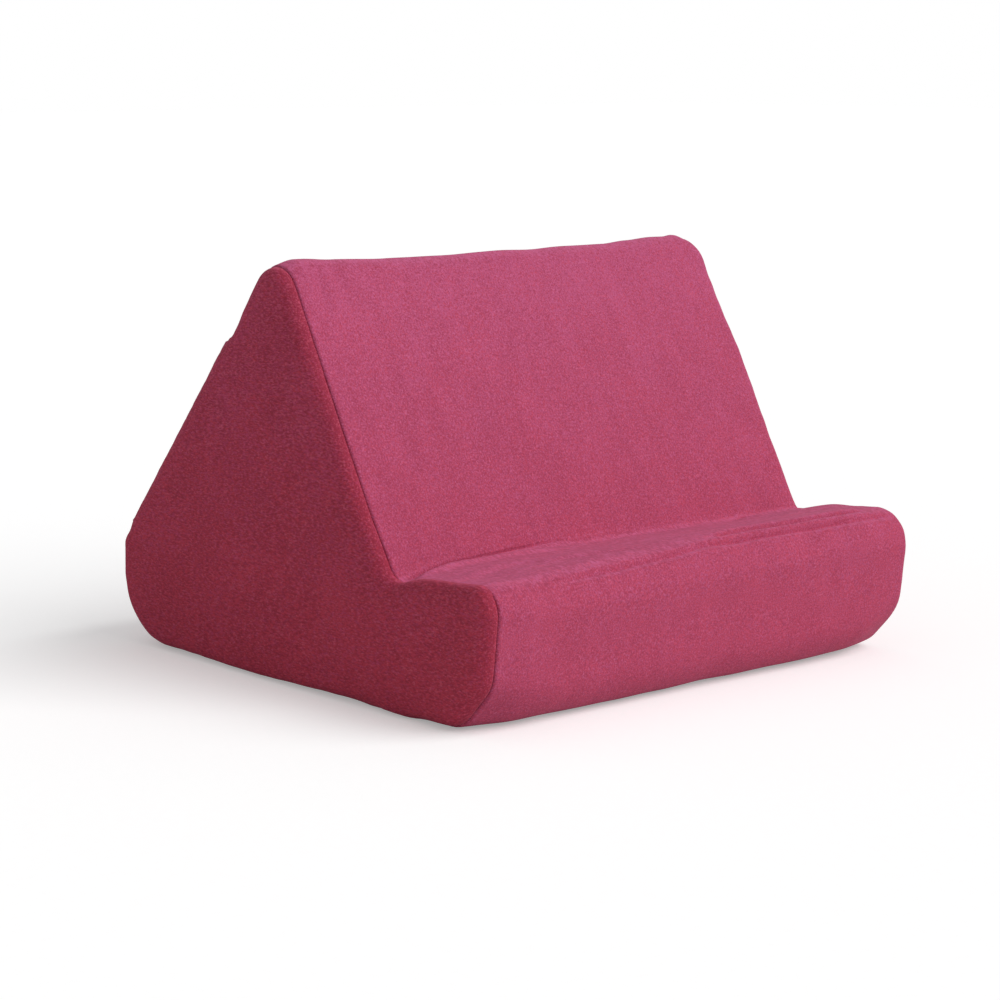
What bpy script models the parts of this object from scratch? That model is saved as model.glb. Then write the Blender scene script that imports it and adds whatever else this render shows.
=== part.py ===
"""Tablet holder: a wedge of foam in a sewn velour cover.

The cover is one long strip wrapped round the profile, a panel on each side, a pocket
on the back and a zip low on the rear wall. The profile is drawn in the Y-Z plane, from
the front lip to the rear wall, and every layer is that profile moved inward.

Driving sizes are in millimetres, X across, Y from front to back, Z up.
"""
import math

import bmesh
import bpy
from mathutils import Vector

MM = 0.001

# Profile, outside the cover: straight lines between corners, each corner rounded
SEAM_WIDTH = 284.0
DEPTH = 307.0
FRONT_LEAN = 8.0
NOSE_HEIGHT = 75.5
LEDGE_DEPTH = 80.0
VALLEY_HEIGHT = 67.3
REST_ANGLE = math.radians(60.9)
BACK_ANGLE = math.radians(49.4)
HEEL_HEIGHT = 54.9
TOE_RADIUS = 32.0
NOSE_RADIUS = 18.0
VALLEY_RADIUS = 18.0
RIDGE_RADIUS = 14.0
HEEL_RADIUS = 13.0
SMALLEST_RADIUS = 2.0
ARC_STEP = math.radians(12.0)
SHORTEST_SHARE = 0.04

# Cloth, foam and the seams between them
CLOTH = 1.2
CLEARANCE = 0.3
SEAM_GAP = 0.3
SEAM_EDGE = 0.9
SEAM_ALLOWANCE = 7.5
SIDE_BULGE = 5.4
SIDE_RIM = 6.0
RIM_DROP = 4.8
CHEEK_INSET = 9.6
SIDE_CROWN = 0.5
CROWN_INSET = 26.0
FOAM_RELIEF = 0.9
FOAM_CHAMFER = 0.6

# Back pocket, sewn down along its two sides and its bottom
POCKET_RISE = 8.1
POCKET_DROP = 46.35
POCKET_HEM = 12.0
POCKET_TURNING = 8.0
POCKET_SIDE_MARGIN = 0.6
POCKET_GAPE = 9.0
GAPE_FROM_SIDE = 0.45
GAPE_FROM_BOTTOM = 0.35
GAPE_POWER = 1.5
POCKET_COLUMNS = 24
POCKET_ROWS = 14

# Zip: two tapes, two rows of coil, three stops, a slider and its pull
ZIP_MARGIN = 17.0
ZIP_LAND = 1.05
SLOT_HEIGHT = 10.0
TAPE = 0.6
TAPE_SPLIT = 1.2
TAPE_END = 6.0
TAPE_MARGIN = 10.0
TAPE_TURN_STEPS = 3
COIL_WIDTH = 5.4
COIL_SINK = 1.2
COIL_HEIGHT = 1.7
COIL_SPINE = 0.9
COIL_PITCH = 2.4
COIL_LOOP = 1.3
COIL_END = 6.0
STOP_LENGTH = 2.4
STOP_WALL = 0.45
SLIDER_LENGTH = 11.0
SLIDER_WIDTH = 7.8
SLIDER_PLATE = 1.1
SLIDER_FLANGE = 0.8
FLANGE_INSET = 0.02
SLIDER_NOSE = 2.6
SLIDER_CLEARANCE = 0.3
POST_LENGTH = 2.2
POST_WIDTH = 0.6
BRIDGE_HEIGHT = 3.0
BRIDGE_WIDTH = 5.2
BRIDGE_LENGTH = 1.8
BRIDGE_WALL = 0.9
PULL_BAR = 1.1
PULL_EYE_WIDTH = 5.8
PULL_EYE_HEIGHT = 5.0
PULL_LENGTH = 22.0
PULL_WIDTH = 7.0

# Colours from the photograph, as linear red, green and blue
VELOUR_PINK = (0.47, 0.066, 0.155)
FOAM_CREAM = (0.82, 0.78, 0.62)
TAPE_PINK = (0.36, 0.045, 0.11)
COIL_PINK = (0.40, 0.055, 0.13)
ZIP_METAL = (0.55, 0.55, 0.57)


def unit(across, up):
    """Return the direction with the given components as a unit vector."""
    return Vector((across, up)).normalized()


def meet(point, direction, other_point, other_direction):
    """Return where two lines of the profile plane cross."""
    crossing = direction.cross(other_direction)
    along = (other_point - point).cross(other_direction) / crossing
    return point + direction * along


def ridge_corner():
    """Return the sharp corner where the rest and the back would meet."""
    rest = unit(math.cos(REST_ANGLE), math.sin(REST_ANGLE))
    back = unit(-math.cos(BACK_ANGLE), math.sin(BACK_ANGLE))
    return meet(Vector((LEDGE_DEPTH, VALLEY_HEIGHT)), rest, Vector((DEPTH, HEEL_HEIGHT)), back)


def rear_radius():
    """Return the radius of the rear foot, which leaves the flat that the zip needs above it."""
    heel_turn = math.pi / 2 - BACK_ANGLE
    flat_top = HEEL_HEIGHT - HEEL_RADIUS * math.tan(heel_turn / 2)
    return flat_top - SLOT_HEIGHT - 2 * ZIP_LAND


def zip_height():
    """Return the height of the zip's centre line, midway up the flat of the rear wall."""
    return rear_radius() + ZIP_LAND + SLOT_HEIGHT / 2


def slot_end():
    """Return how far the zip's slot reaches to each side of the middle."""
    return SEAM_WIDTH / 2 - ZIP_MARGIN


def profile_corners():
    """Return the profile's corners, clockwise from the front foot: name, point, radius.

    A corner with no radius is a mark on a straight stretch, where a layer begins or ends.
    """
    zip_z = zip_height()
    heel = Vector((DEPTH, HEEL_HEIGHT))
    up_back = unit(-math.cos(BACK_ANGLE), math.sin(BACK_ANGLE))
    return [
        ("toe", Vector((FRONT_LEAN, 0.0)), TOE_RADIUS),
        ("nose", Vector((0.0, NOSE_HEIGHT)), NOSE_RADIUS),
        ("valley", Vector((LEDGE_DEPTH, VALLEY_HEIGHT)), VALLEY_RADIUS),
        ("ridge", ridge_corner(), RIDGE_RADIUS),
        ("tape_top", heel + up_back * TAPE_MARGIN, None),
        ("heel", heel, HEEL_RADIUS),
        ("slot_top", Vector((DEPTH, zip_z + SLOT_HEIGHT / 2)), None),
        ("split_top", Vector((DEPTH, zip_z + TAPE_SPLIT / 2)), None),
        ("split_bottom", Vector((DEPTH, zip_z - TAPE_SPLIT / 2)), None),
        ("slot_bottom", Vector((DEPTH, zip_z - SLOT_HEIGHT / 2)), None),
        ("rear", Vector((DEPTH, 0.0)), rear_radius()),
    ]


def spread_marks(points, start, end):
    """Keep marks in order on the stretch from start to end when a layer lies deep inside."""
    run = end - start
    placed = []
    for order, point in enumerate(points):
        share = (point - start).dot(run) / run.length_squared
        low = SHORTEST_SHARE * (order + 1)
        high = 1.0 - SHORTEST_SHARE * (len(points) - order)
        placed.append(start + run * min(max(share, low), high))
    return placed


def outline(inset):
    """Return the profile moved inward by inset, and the index of each corner's first point."""
    corners = profile_corners()
    count = len(corners)
    headings = [(corners[(i + 1) % count][1] - corners[i][1]).normalized() for i in range(count)]
    stretches = []
    for index, (name, point, radius) in enumerate(corners):
        before, after = headings[index - 1], headings[index]
        inner_before = point + Vector((before.y, -before.x)) * inset
        inner_after = point + Vector((after.y, -after.x)) * inset
        if radius is None:
            stretches.append((name, [inner_after], True))
            continue
        corner = meet(inner_before, before, inner_after, after)
        turn = math.atan2(before.cross(after), before.dot(after))
        bend = radius + inset if turn > 0 else max(radius - inset, SMALLEST_RADIUS)
        start = corner - before * bend * math.tan(abs(turn) / 2)
        spoke = Vector((-before.y, before.x)) * math.copysign(bend, turn)
        centre = start + spoke
        steps = math.ceil(abs(turn) / ARC_STEP)
        arc = []
        for step in range(steps + 1):
            angle = turn * step / steps
            cosine, sine = math.cos(angle), math.sin(angle)
            arm = -spoke
            arc.append(centre + Vector((cosine * arm.x - sine * arm.y, sine * arm.x + cosine * arm.y)))
        stretches.append((name, arc, False))
    points, index_of, position = [], {}, 0
    while position < count:
        name, stretch, is_mark = stretches[position]
        group = [name]
        if is_mark:
            while stretches[(position + len(group)) % count][2]:
                group.append(stretches[position + len(group)][0])
            marks = [stretches[position + k][1][0] for k in range(len(group))]
            following = stretches[(position + len(group)) % count][1][0]
            stretch = spread_marks(marks, points[-1], following)
        for offset, mark in enumerate(group):
            index_of[mark] = len(points) + offset
        points.extend(stretch)
        position += len(group)
    return points, index_of


def frame_shift():
    """Return the Y shift that puts the middle of the whole depth, bridge included, at zero."""
    points, _ = outline(0.0)
    front = min(point.x for point in points)
    back = DEPTH + slider_top() + BRIDGE_HEIGHT
    return -(front + back) / 2


def slider_top():
    """Return how far the slider's upper plate stands out from the cover's rear face."""
    return COIL_HEIGHT - COIL_SINK + SLIDER_CLEARANCE + SLIDER_PLATE


class Body:
    """Collects the points and faces of one closed body, in the cushion's frame."""

    def __init__(self):
        self.points = []
        self.faces = []

    def ring(self, profile, across):
        """Add one closed ring of profile points at the given X and return its indices."""
        first = len(self.points)
        self.points.extend((across, point.x, point.y) for point in profile)
        return list(range(first, len(self.points)))

    def row(self, points):
        """Add an open row of X, Y, Z points and return its indices."""
        first = len(self.points)
        self.points.extend(tuple(point) for point in points)
        return list(range(first, len(self.points)))

    def bridge(self, one, other, closed=True):
        """Join two rows or rings of equal length with four-sided faces."""
        last = len(one) if closed else len(one) - 1
        for i in range(last):
            j = (i + 1) % len(one)
            self.faces.append((one[i], one[j], other[j], other[i]))

    def cap(self, ring):
        """Close a ring with one flat face."""
        self.faces.append(tuple(ring))

    def build(self, name, material, pivot=(0.0, 0.0, 0.0), smooth=True):
        """Make the object, with its origin at pivot in the cushion's frame."""
        shift = Vector((0.0, frame_shift(), 0.0))
        pivot = Vector(pivot)
        mesh = bpy.data.meshes.new(name)
        bm = bmesh.new()
        verts = [bm.verts.new((Vector(point) - pivot) * MM) for point in self.points]
        for face in self.faces:
            bm.faces.new([verts[i] for i in face])
        bmesh.ops.recalc_face_normals(bm, faces=bm.faces)
        bmesh.ops.triangulate(bm, faces=[face for face in bm.faces if len(face.verts) > 4])
        bm.to_mesh(mesh)
        bm.free()
        mesh.materials.append(material)
        if smooth:
            mesh.shade_smooth()
            mesh.set_sharp_from_angle(angle=math.radians(35))
        thing = bpy.data.objects.new(name, mesh)
        thing.location = (pivot + shift) * MM
        bpy.context.scene.collection.objects.link(thing)
        return thing


def principled(name, colour, roughness, metallic=0.0):
    """Return a plain material."""
    material = bpy.data.materials.new(name)
    material.use_nodes = True
    shader = material.node_tree.nodes["Principled BSDF"]
    shader.inputs["Base Color"].default_value = (*colour, 1.0)
    shader.inputs["Roughness"].default_value = roughness
    shader.inputs["Metallic"].default_value = metallic
    return material


def side_stations():
    """Return where the side panel runs, outer face then inner face, from crown to seam.

    Each station is a distance out from the seam and an inset from the profile.
    """
    outer = [(SIDE_BULGE + SIDE_CROWN, CROWN_INSET), (SIDE_BULGE, CHEEK_INSET)]
    for degrees in (0, 22, 45, 68):
        angle = math.radians(degrees)
        outer.append((
            SIDE_BULGE - RIM_DROP * (1 - math.cos(angle)),
            SIDE_RIM * (1 - math.sin(angle)) + SEAM_GAP,
        ))
    outer.append((SEAM_GAP / 2, SEAM_EDGE))
    outer.append((SEAM_GAP / 2, SEAM_ALLOWANCE))
    fold = SEAM_GAP / 2 + CLOTH
    inner = [(fold, SEAM_ALLOWANCE), (fold, SEAM_EDGE + CLOTH)]
    for degrees in (45, 0):
        angle = math.radians(degrees)
        inner.append((
            SIDE_BULGE - CLOTH - (RIM_DROP - CLOTH) * (1 - math.cos(angle)),
            (SIDE_RIM - CLOTH) * (1 - math.sin(angle)) + CLOTH + SEAM_GAP,
        ))
    inner.append((SIDE_BULGE - CLOTH, CHEEK_INSET))
    inner.append((SIDE_BULGE + SIDE_CROWN - CLOTH, CROWN_INSET))
    return outer + inner


def side_panel(name, side, material):
    """Make a side panel; side is -1 on the left and 1 on the right."""
    body = Body()
    rings = []
    for out, inset in side_stations():
        rings.append(body.ring(outline(inset)[0], side * (SEAM_WIDTH / 2 + out)))
    for one, other in zip(rings, rings[1:]):
        body.bridge(one, other)
    body.cap(rings[0])
    body.cap(rings[-1])
    return body.build(name, material)


def wrap_panel(material):
    """Make the strip that goes once round the profile, with the zip's slot in its rear wall."""
    edge = SEAM_WIDTH / 2 - SEAM_GAP / 2
    outer = [(edge, SEAM_ALLOWANCE), (edge, SEAM_EDGE), (edge - SEAM_GAP, SEAM_GAP)]
    outer += [(edge - SEAM_EDGE, 0.0), (slot_end(), 0.0)]
    fold = edge - CLOTH
    inner = [(fold, SEAM_ALLOWANCE), (fold, CLOTH + SEAM_GAP), (fold - SEAM_GAP, CLOTH)]
    inner += [(slot_end(), CLOTH)]
    body = Body()
    _, index_of = outline(0.0)
    hole = range(index_of["slot_top"], index_of["slot_bottom"])

    def layer(stations):
        """Return rings for one face of the strip, left edge to right edge."""
        both = [(-x, inset) for x, inset in stations] + [(x, inset) for x, inset in reversed(stations)]
        return [body.ring(outline(inset)[0], x) for x, inset in both]

    faces = [layer(outer), layer(inner)]
    for rings in faces:
        middle = len(rings) // 2 - 1
        for number, (one, other) in enumerate(zip(rings, rings[1:])):
            for i in range(len(one)):
                if number == middle and i in hole:
                    continue
                j = (i + 1) % len(one)
                body.faces.append((one[i], one[j], other[j], other[i]))
    for end in (0, -1):
        body.bridge(faces[0][end], faces[1][end])
    outside = faces[0][len(outer) - 1:len(outer) + 1]
    inside = faces[1][len(inner) - 1:len(inner) + 1]
    for end in range(2):
        for i in hole:
            body.faces.append((outside[end][i], outside[end][i + 1], inside[end][i + 1], inside[end][i]))
    for i in (hole.start, hole.stop):
        body.faces.append((outside[0][i], outside[1][i], inside[1][i], inside[0][i]))
    return body.build("wrap_panel", material)


def foam_core(material):
    """Make the foam block, stepped in under the seams and hollowed under the zip."""
    seam = SEAM_WIDTH / 2
    under_cloth = CLOTH + CLEARANCE
    under_tape = under_cloth + TAPE + CLEARANCE + FOAM_RELIEF
    under_slider = slider_depth() + FOAM_RELIEF
    under_seam = SEAM_ALLOWANCE + CLEARANCE
    shoulder = seam - SEAM_GAP / 2 - CLOTH - CLEARANCE
    cheek = seam + SEAM_GAP / 2 + CLOTH + CLEARANCE
    face = seam + SIDE_BULGE - CLOTH - CLEARANCE
    tape_end = slot_end() + TAPE_END + CLEARANCE
    _, index_of = outline(0.0)
    plain = outline(under_cloth)[0]
    recess, channel = list(plain), list(plain)
    # The recess reaches one profile point past the sewn edge of each tape
    for i in range(index_of["tape_top"] - 1, index_of["rear"] + TAPE_TURN_STEPS + 1):
        recess[i] = outline(under_tape)[0][i]
        channel[i] = recess[i]
    for i in range(index_of["slot_top"], index_of["slot_bottom"] + 1):
        channel[i] = outline(under_slider)[0][i]
    half = [
        (face + SIDE_CROWN, outline(CROWN_INSET)[0]),
        (face, outline(CHEEK_INSET)[0]),
        (face - FOAM_CHAMFER, outline(under_seam + FOAM_CHAMFER / 2)[0]),
        (cheek, outline(under_seam)[0]),
        (shoulder, outline(under_seam)[0]),
        (shoulder, plain),
        (tape_end + CLEARANCE, plain),
        (tape_end, recess),
        (slot_end() + CLEARANCE, recess),
        (slot_end(), channel),
    ]
    body = Body()
    rings = [body.ring(profile, -x) for x, profile in half]
    rings += [body.ring(profile, x) for x, profile in reversed(half)]
    for one, other in zip(rings, rings[1:]):
        body.bridge(one, other)
    body.cap(rings[0])
    body.cap(rings[-1])
    return body.build("foam_core", material)


def pocket_lift(across, along, length):
    """Return how far the pocket's inner face gapes from the back at a place on it."""
    half = SEAM_WIDTH / 2 - POCKET_SIDE_MARGIN
    from_side = min((half - abs(across)) / (GAPE_FROM_SIDE * half), 1.0)
    from_bottom = min(max(along / length - GAPE_FROM_BOTTOM, 0.0) / (1 - GAPE_FROM_BOTTOM), 1.0)
    ease_side = from_side * from_side * (3 - 2 * from_side)
    return POCKET_GAPE * ease_side * from_bottom ** GAPE_POWER


def back_pocket(material):
    """Make the pocket: one layer of cloth, doubled at its hem and where it is turned under."""
    up = unit(-math.cos(BACK_ANGLE), math.sin(BACK_ANGLE))
    out = Vector((up.y, -up.x))
    low = Vector((DEPTH, HEEL_HEIGHT)) + up * POCKET_RISE / up.y
    length = (ridge_corner().y - POCKET_DROP - low.y) / up.y
    half = SEAM_WIDTH / 2 - POCKET_SIDE_MARGIN
    inner_columns = [half - POCKET_TURNING, half - POCKET_TURNING - CLOTH]
    spread = inner_columns[-1]
    plain = [-spread + 2 * spread * k / POCKET_COLUMNS for k in range(1, POCKET_COLUMNS)]
    columns = [-half] + [-x for x in inner_columns] + plain + inner_columns[::-1] + [half]
    rises = [0.0, POCKET_TURNING, POCKET_TURNING + CLOTH]
    straight = length - POCKET_HEM - CLOTH - rises[-1]
    rises += [rises[-1] + straight * k / POCKET_ROWS for k in range(1, POCKET_ROWS)]
    rises += [length - POCKET_HEM - CLOTH, length - POCKET_HEM, length]

    def place(across, along, depth):
        """Return the point at a depth of cloth over the pocket's inner face."""
        lift = CLEARANCE + pocket_lift(across, along, length) + depth
        spot = low + up * along + out * lift
        return (across, spot.x, spot.y)

    def inner_depth(across, along):
        """Return how far the inner face steps back where the cloth isn't doubled."""
        in_turning = abs(across) > inner_columns[-1] + CLOTH / 2 or along < rises[1] + CLOTH / 2
        return 0.0 if in_turning or along > length - POCKET_HEM - CLOTH / 2 else CLOTH

    body = Body()
    outer = [body.row(place(x, s, 2 * CLOTH) for x in columns) for s in rises]
    inner = [body.row(place(x, s, inner_depth(x, s)) for x in columns) for s in rises]
    for rows in (outer, inner):
        for one, other in zip(rows, rows[1:]):
            body.bridge(one, other, closed=False)
    for end in (0, -1):
        body.bridge(outer[end], inner[end], closed=False)
        body.bridge([row[end] for row in outer], [row[end] for row in inner], closed=False)
    return body.build("back_pocket", material)


def slider_depth():
    """Return how deep the slider's lower plate reaches under the cover's rear face."""
    return CLOTH + CLEARANCE + TAPE + SLIDER_CLEARANCE + SLIDER_PLATE


def zip_tape(name, upper, material):
    """Make one tape, which follows the inside of the cover from the coil to its sewn edge."""
    outer, index_of = outline(CLOTH + CLEARANCE)
    inner, _ = outline(CLOTH + CLEARANCE + TAPE)
    if upper:
        span = slice(index_of["tape_top"], index_of["split_top"] + 1)
    else:
        span = slice(index_of["split_bottom"], index_of["rear"] + TAPE_TURN_STEPS)
    body = Body()
    end = slot_end() + TAPE_END
    section = outer[span] + inner[span][::-1]
    rings = [body.ring(section, -end), body.ring(section, end)]
    body.bridge(*rings)
    body.cap(rings[0])
    body.cap(rings[1])
    return body.build(name, material)


def prism(name, material, outline_points, low, high, place, pivot=(0.0, 0.0, 0.0)):
    """Extrude an outline; place turns its two numbers and a depth into X, Y, Z."""
    body = Body()
    rows = [body.row(place(u, v, depth) for u, v in outline_points) for depth in (low, high)]
    body.bridge(*rows)
    body.cap(rows[0])
    body.cap(rows[1])
    return body.build(name, material, pivot, smooth=False)


def on_rear(across, height, out):
    """Place a point by X, height over the zip's centre line and distance out of the rear face."""
    return (across, DEPTH + out, zip_height() + height)


def coil_row(name, upper, material):
    """Make one row of the coil: a spine sewn to the tape, with a loop at each pitch."""
    side = 1 if upper else -1
    half_length = slot_end() - COIL_END
    count = int((2 * half_length - COIL_LOOP) // COIL_PITCH) + 1
    first = -COIL_PITCH * (count - 1) / 2 + (COIL_PITCH / 4) * side
    back, root, tip = COIL_WIDTH / 2, COIL_WIDTH / 2 - COIL_SPINE, TAPE_SPLIT / 2
    start, end = first - COIL_LOOP / 2, first + COIL_PITCH * (count - 1) + COIL_LOOP / 2
    points = [(end, side * back), (start, side * back)]
    for k in range(count):
        middle = first + COIL_PITCH * k
        low, high = middle - COIL_LOOP / 2, middle + COIL_LOOP / 2
        if k:
            points.append((low, side * root))
        points += [(low, side * tip), (high, side * tip)]
        if k < count - 1:
            points.append((high, side * root))
    return prism(name, material, points, -COIL_SINK, COIL_HEIGHT - COIL_SINK, on_rear)


def stop(name, across, low, high, material):
    """Make a crimped stop over the coil between two heights."""
    points = [
        (across - STOP_LENGTH / 2, low), (across + STOP_LENGTH / 2, low),
        (across + STOP_LENGTH / 2, high), (across - STOP_LENGTH / 2, high),
    ]
    top = COIL_HEIGHT - COIL_SINK + STOP_WALL / 2
    return prism(name, material, points, -COIL_SINK, top, on_rear)


def slider_place():
    """Return the X of the slider's middle when the zip is closed."""
    return slot_end() - COIL_END - STOP_LENGTH - SLIDER_LENGTH / 2


def plate_outline():
    """Return the outline of a slider plate: square shoulders and a tapered tail."""
    half, width, nose = SLIDER_LENGTH / 2, SLIDER_WIDTH / 2, SLIDER_NOSE
    return [
        (-half, -width + nose / 2), (-half + nose / 2, -width + nose / 6), (0.0, -width),
        (half - nose / 2, -width), (half, -width + nose / 2), (half, width - nose / 2),
        (half - nose / 2, width), (0.0, width), (-half + nose / 2, width - nose / 6),
        (-half, width - nose / 2),
    ]


def box_outline(low_u, high_u, low_v, high_v):
    """Return a rectangle."""
    return [(low_u, low_v), (high_u, low_v), (high_u, high_v), (low_u, high_v)]


def unite(thing, extras):
    """Join overlapping bodies into one with a Boolean union each, and hide the extras."""
    for extra in extras:
        joint = thing.modifiers.new(extra.name, "BOOLEAN")
        joint.operation = "UNION"
        joint.solver = "EXACT"
        joint.object = extra
        extra.hide_render = True
        extra.display_type = "WIRE"
    return thing


def zip_slider(material):
    """Make the slider: two plates joined by a post, side flanges and a bridge for the pull."""
    x = slider_place()
    pivot = on_rear(x, 0.0, 0.0)
    chain_top = COIL_HEIGHT - COIL_SINK + SLIDER_CLEARANCE
    under = -(CLOTH + CLEARANCE + TAPE + SLIDER_CLEARANCE)
    over_tape = -(CLOTH + CLEARANCE) + SLIDER_CLEARANCE
    bite = SLIDER_PLATE / 2

    def part(name, points, low, high, place):
        """Make one of the slider's blocks."""
        return prism(name, material, points, low, high, place, pivot)

    def flat(u, v, depth):
        """Place a point of an outline drawn on the rear wall."""
        return on_rear(x + u, v, depth)

    def upright(u, v, depth):
        """Place a point of an outline drawn across the zip."""
        return on_rear(x + depth, u, v)

    slider = part("zip_slider", plate_outline(), chain_top, slider_top(), flat)
    lower = part("slider_lower_plate", plate_outline(), under - SLIDER_PLATE, under, flat)
    post_end = SLIDER_LENGTH / 2 - SLIDER_NOSE / 2
    post_points = box_outline(post_end - POST_LENGTH, post_end, -POST_WIDTH / 2, POST_WIDTH / 2)
    post = part("slider_post", post_points, under - bite, chain_top + bite, flat)
    flanges = []
    for side in (-1, 1):
        outside = SLIDER_WIDTH / 2 - FLANGE_INSET
        edges = sorted((side * (SLIDER_WIDTH / 2 - SLIDER_FLANGE), side * outside))
        rail = box_outline(-SLIDER_LENGTH / 2 + SLIDER_NOSE, SLIDER_LENGTH / 2 - SLIDER_NOSE, *edges)
        flanges.append(part(f"slider_flange_{len(flanges)}", rail, over_tape, chain_top + bite, flat))
    base, top = slider_top(), slider_top() + BRIDGE_HEIGHT
    half, wall = BRIDGE_WIDTH / 2, BRIDGE_WALL
    arch = [
        (-half, base - bite), (-half, top - wall), (-half + wall, top), (half - wall, top),
        (half, top - wall), (half, base - bite), (half - wall, base - bite), (half - wall, top - wall),
        (-half + wall, top - wall), (-half + wall, base - bite),
    ]
    bridge = part("slider_bridge", arch, -BRIDGE_LENGTH / 2, BRIDGE_LENGTH / 2, upright)
    return unite(slider, [lower, post, *flanges, bridge])


def pull_pivot():
    """Return the pull's axis: X, height over the zip and distance out of the rear face."""
    return slider_place(), 0.0, slider_top() + (BRIDGE_HEIGHT - BRIDGE_WALL) / 2


def pull_tab(material):
    """Make the pull: a flat tab with an eye, whose top bar runs through the slider's bridge."""
    x, height, out = pull_pivot()
    bar, eye, wide = PULL_BAR / 2, PULL_EYE_WIDTH / 2, PULL_WIDTH / 2
    leg = eye + PULL_BAR
    shoulder, low = -PULL_EYE_HEIGHT, -PULL_LENGTH
    rim = [
        (-leg, bar), (leg, bar), (leg, shoulder + PULL_BAR), (wide, shoulder - PULL_BAR),
        (wide, low + PULL_BAR), (wide - PULL_BAR, low), (PULL_BAR - wide, low),
        (-wide, low + PULL_BAR), (-wide, shoulder - PULL_BAR), (-leg, shoulder + PULL_BAR),
    ]
    window = [(-eye, -bar), (eye, -bar), (eye, shoulder), (-eye, shoulder)]
    body = Body()
    spread = [body.row(on_rear(x + u, height + v, out + depth) for u, v in rim) for depth in (-bar, bar)]
    hole = [body.row(on_rear(x + u, height + v, out + depth) for u, v in window) for depth in (-bar, bar)]
    body.bridge(*spread)
    body.bridge(*hole)
    for outer, inner in zip(spread, hole):
        body.faces.append((outer[0], outer[1], inner[1], inner[0]))
        body.faces.append((outer[1], outer[2], inner[2], inner[1]))
        body.faces.append((inner[2], outer[2], outer[3], outer[4], outer[5], outer[6], outer[7],
                           outer[8], outer[9], inner[3]))
        body.faces.append((outer[9], outer[0], inner[0], inner[3]))
    return body.build("zip_pull_tab", material, on_rear(x, height, out), smooth=False)


def clear_scene():
    """Remove what the scene holds."""
    for thing in list(bpy.data.objects):
        bpy.data.objects.remove(thing, do_unlink=True)


def main():
    """Make every piece of the tablet holder."""
    clear_scene()
    velour = principled("velour", VELOUR_PINK, 0.9)
    foam = principled("foam", FOAM_CREAM, 0.95)
    tape = principled("zip_tape", TAPE_PINK, 0.8)
    coil = principled("zip_coil", COIL_PINK, 0.5)
    metal = principled("zip_metal", ZIP_METAL, 0.3, metallic=1.0)

    foam_core(foam)
    wrap_panel(velour)
    side_panel("side_panel_left", -1, velour)
    side_panel("side_panel_right", 1, velour)
    back_pocket(velour)
    zip_tape("zip_tape_upper", True, tape)
    zip_tape("zip_tape_lower", False, tape)
    coil_row("zip_coil_upper", True, coil)
    coil_row("zip_coil_lower", False, coil)
    ends = slot_end() - COIL_END + STOP_LENGTH / 2 + CLEARANCE
    inner, outer = TAPE_SPLIT / 2, COIL_WIDTH / 2
    stop("zip_stop_bottom", -ends - COIL_PITCH / 4, -outer, outer, metal)
    stop("zip_stop_top_upper", ends + COIL_PITCH / 4, inner, outer, metal)
    stop("zip_stop_top_lower", ends + COIL_PITCH / 4, -outer, -inner, metal)
    zip_slider(metal)
    pull_tab(metal)


main()
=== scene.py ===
"""Tablet holder: a soft foam wedge in a sewn velour cover, dressed over its CAD frame.

The cover is a strip round the profile with a panel on each side, a pocket on the back and a
zip low on the rear wall. Lengths are in millimetres unless a name says metres. X goes across,
Y from the front lip to the back, and Z up.
"""
import sys

import logging
import math
from collections.abc import Callable, Sequence
from dataclasses import dataclass, field
from enum import Enum
from typing import Any

import bmesh
import bpy
import numpy as np
from mathutils import Euler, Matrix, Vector, noise
from mathutils.geometry import delaunay_2d_cdt


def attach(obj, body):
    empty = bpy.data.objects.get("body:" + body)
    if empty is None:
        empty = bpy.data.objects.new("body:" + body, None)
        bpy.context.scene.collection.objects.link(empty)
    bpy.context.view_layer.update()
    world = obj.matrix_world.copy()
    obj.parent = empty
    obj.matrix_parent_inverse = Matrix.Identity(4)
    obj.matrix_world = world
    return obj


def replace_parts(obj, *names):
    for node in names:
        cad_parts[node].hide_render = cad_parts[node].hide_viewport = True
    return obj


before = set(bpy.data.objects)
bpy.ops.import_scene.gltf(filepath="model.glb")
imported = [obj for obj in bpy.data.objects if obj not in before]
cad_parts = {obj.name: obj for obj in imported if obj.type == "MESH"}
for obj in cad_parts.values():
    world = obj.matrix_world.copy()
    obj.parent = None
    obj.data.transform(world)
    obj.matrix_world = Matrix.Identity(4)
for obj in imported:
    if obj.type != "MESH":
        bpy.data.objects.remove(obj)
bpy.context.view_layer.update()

MM = 0.001
LOG = logging.getLogger("tablet_holder")


class Side(Enum):
    """The two sides of the cushion, as seen from the front."""

    LEFT = -1
    RIGHT = 1


class Tape(Enum):
    """The two halves of the zip, above and below its centre line."""

    UPPER = 1
    LOWER = -1


# Shader nodes


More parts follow.
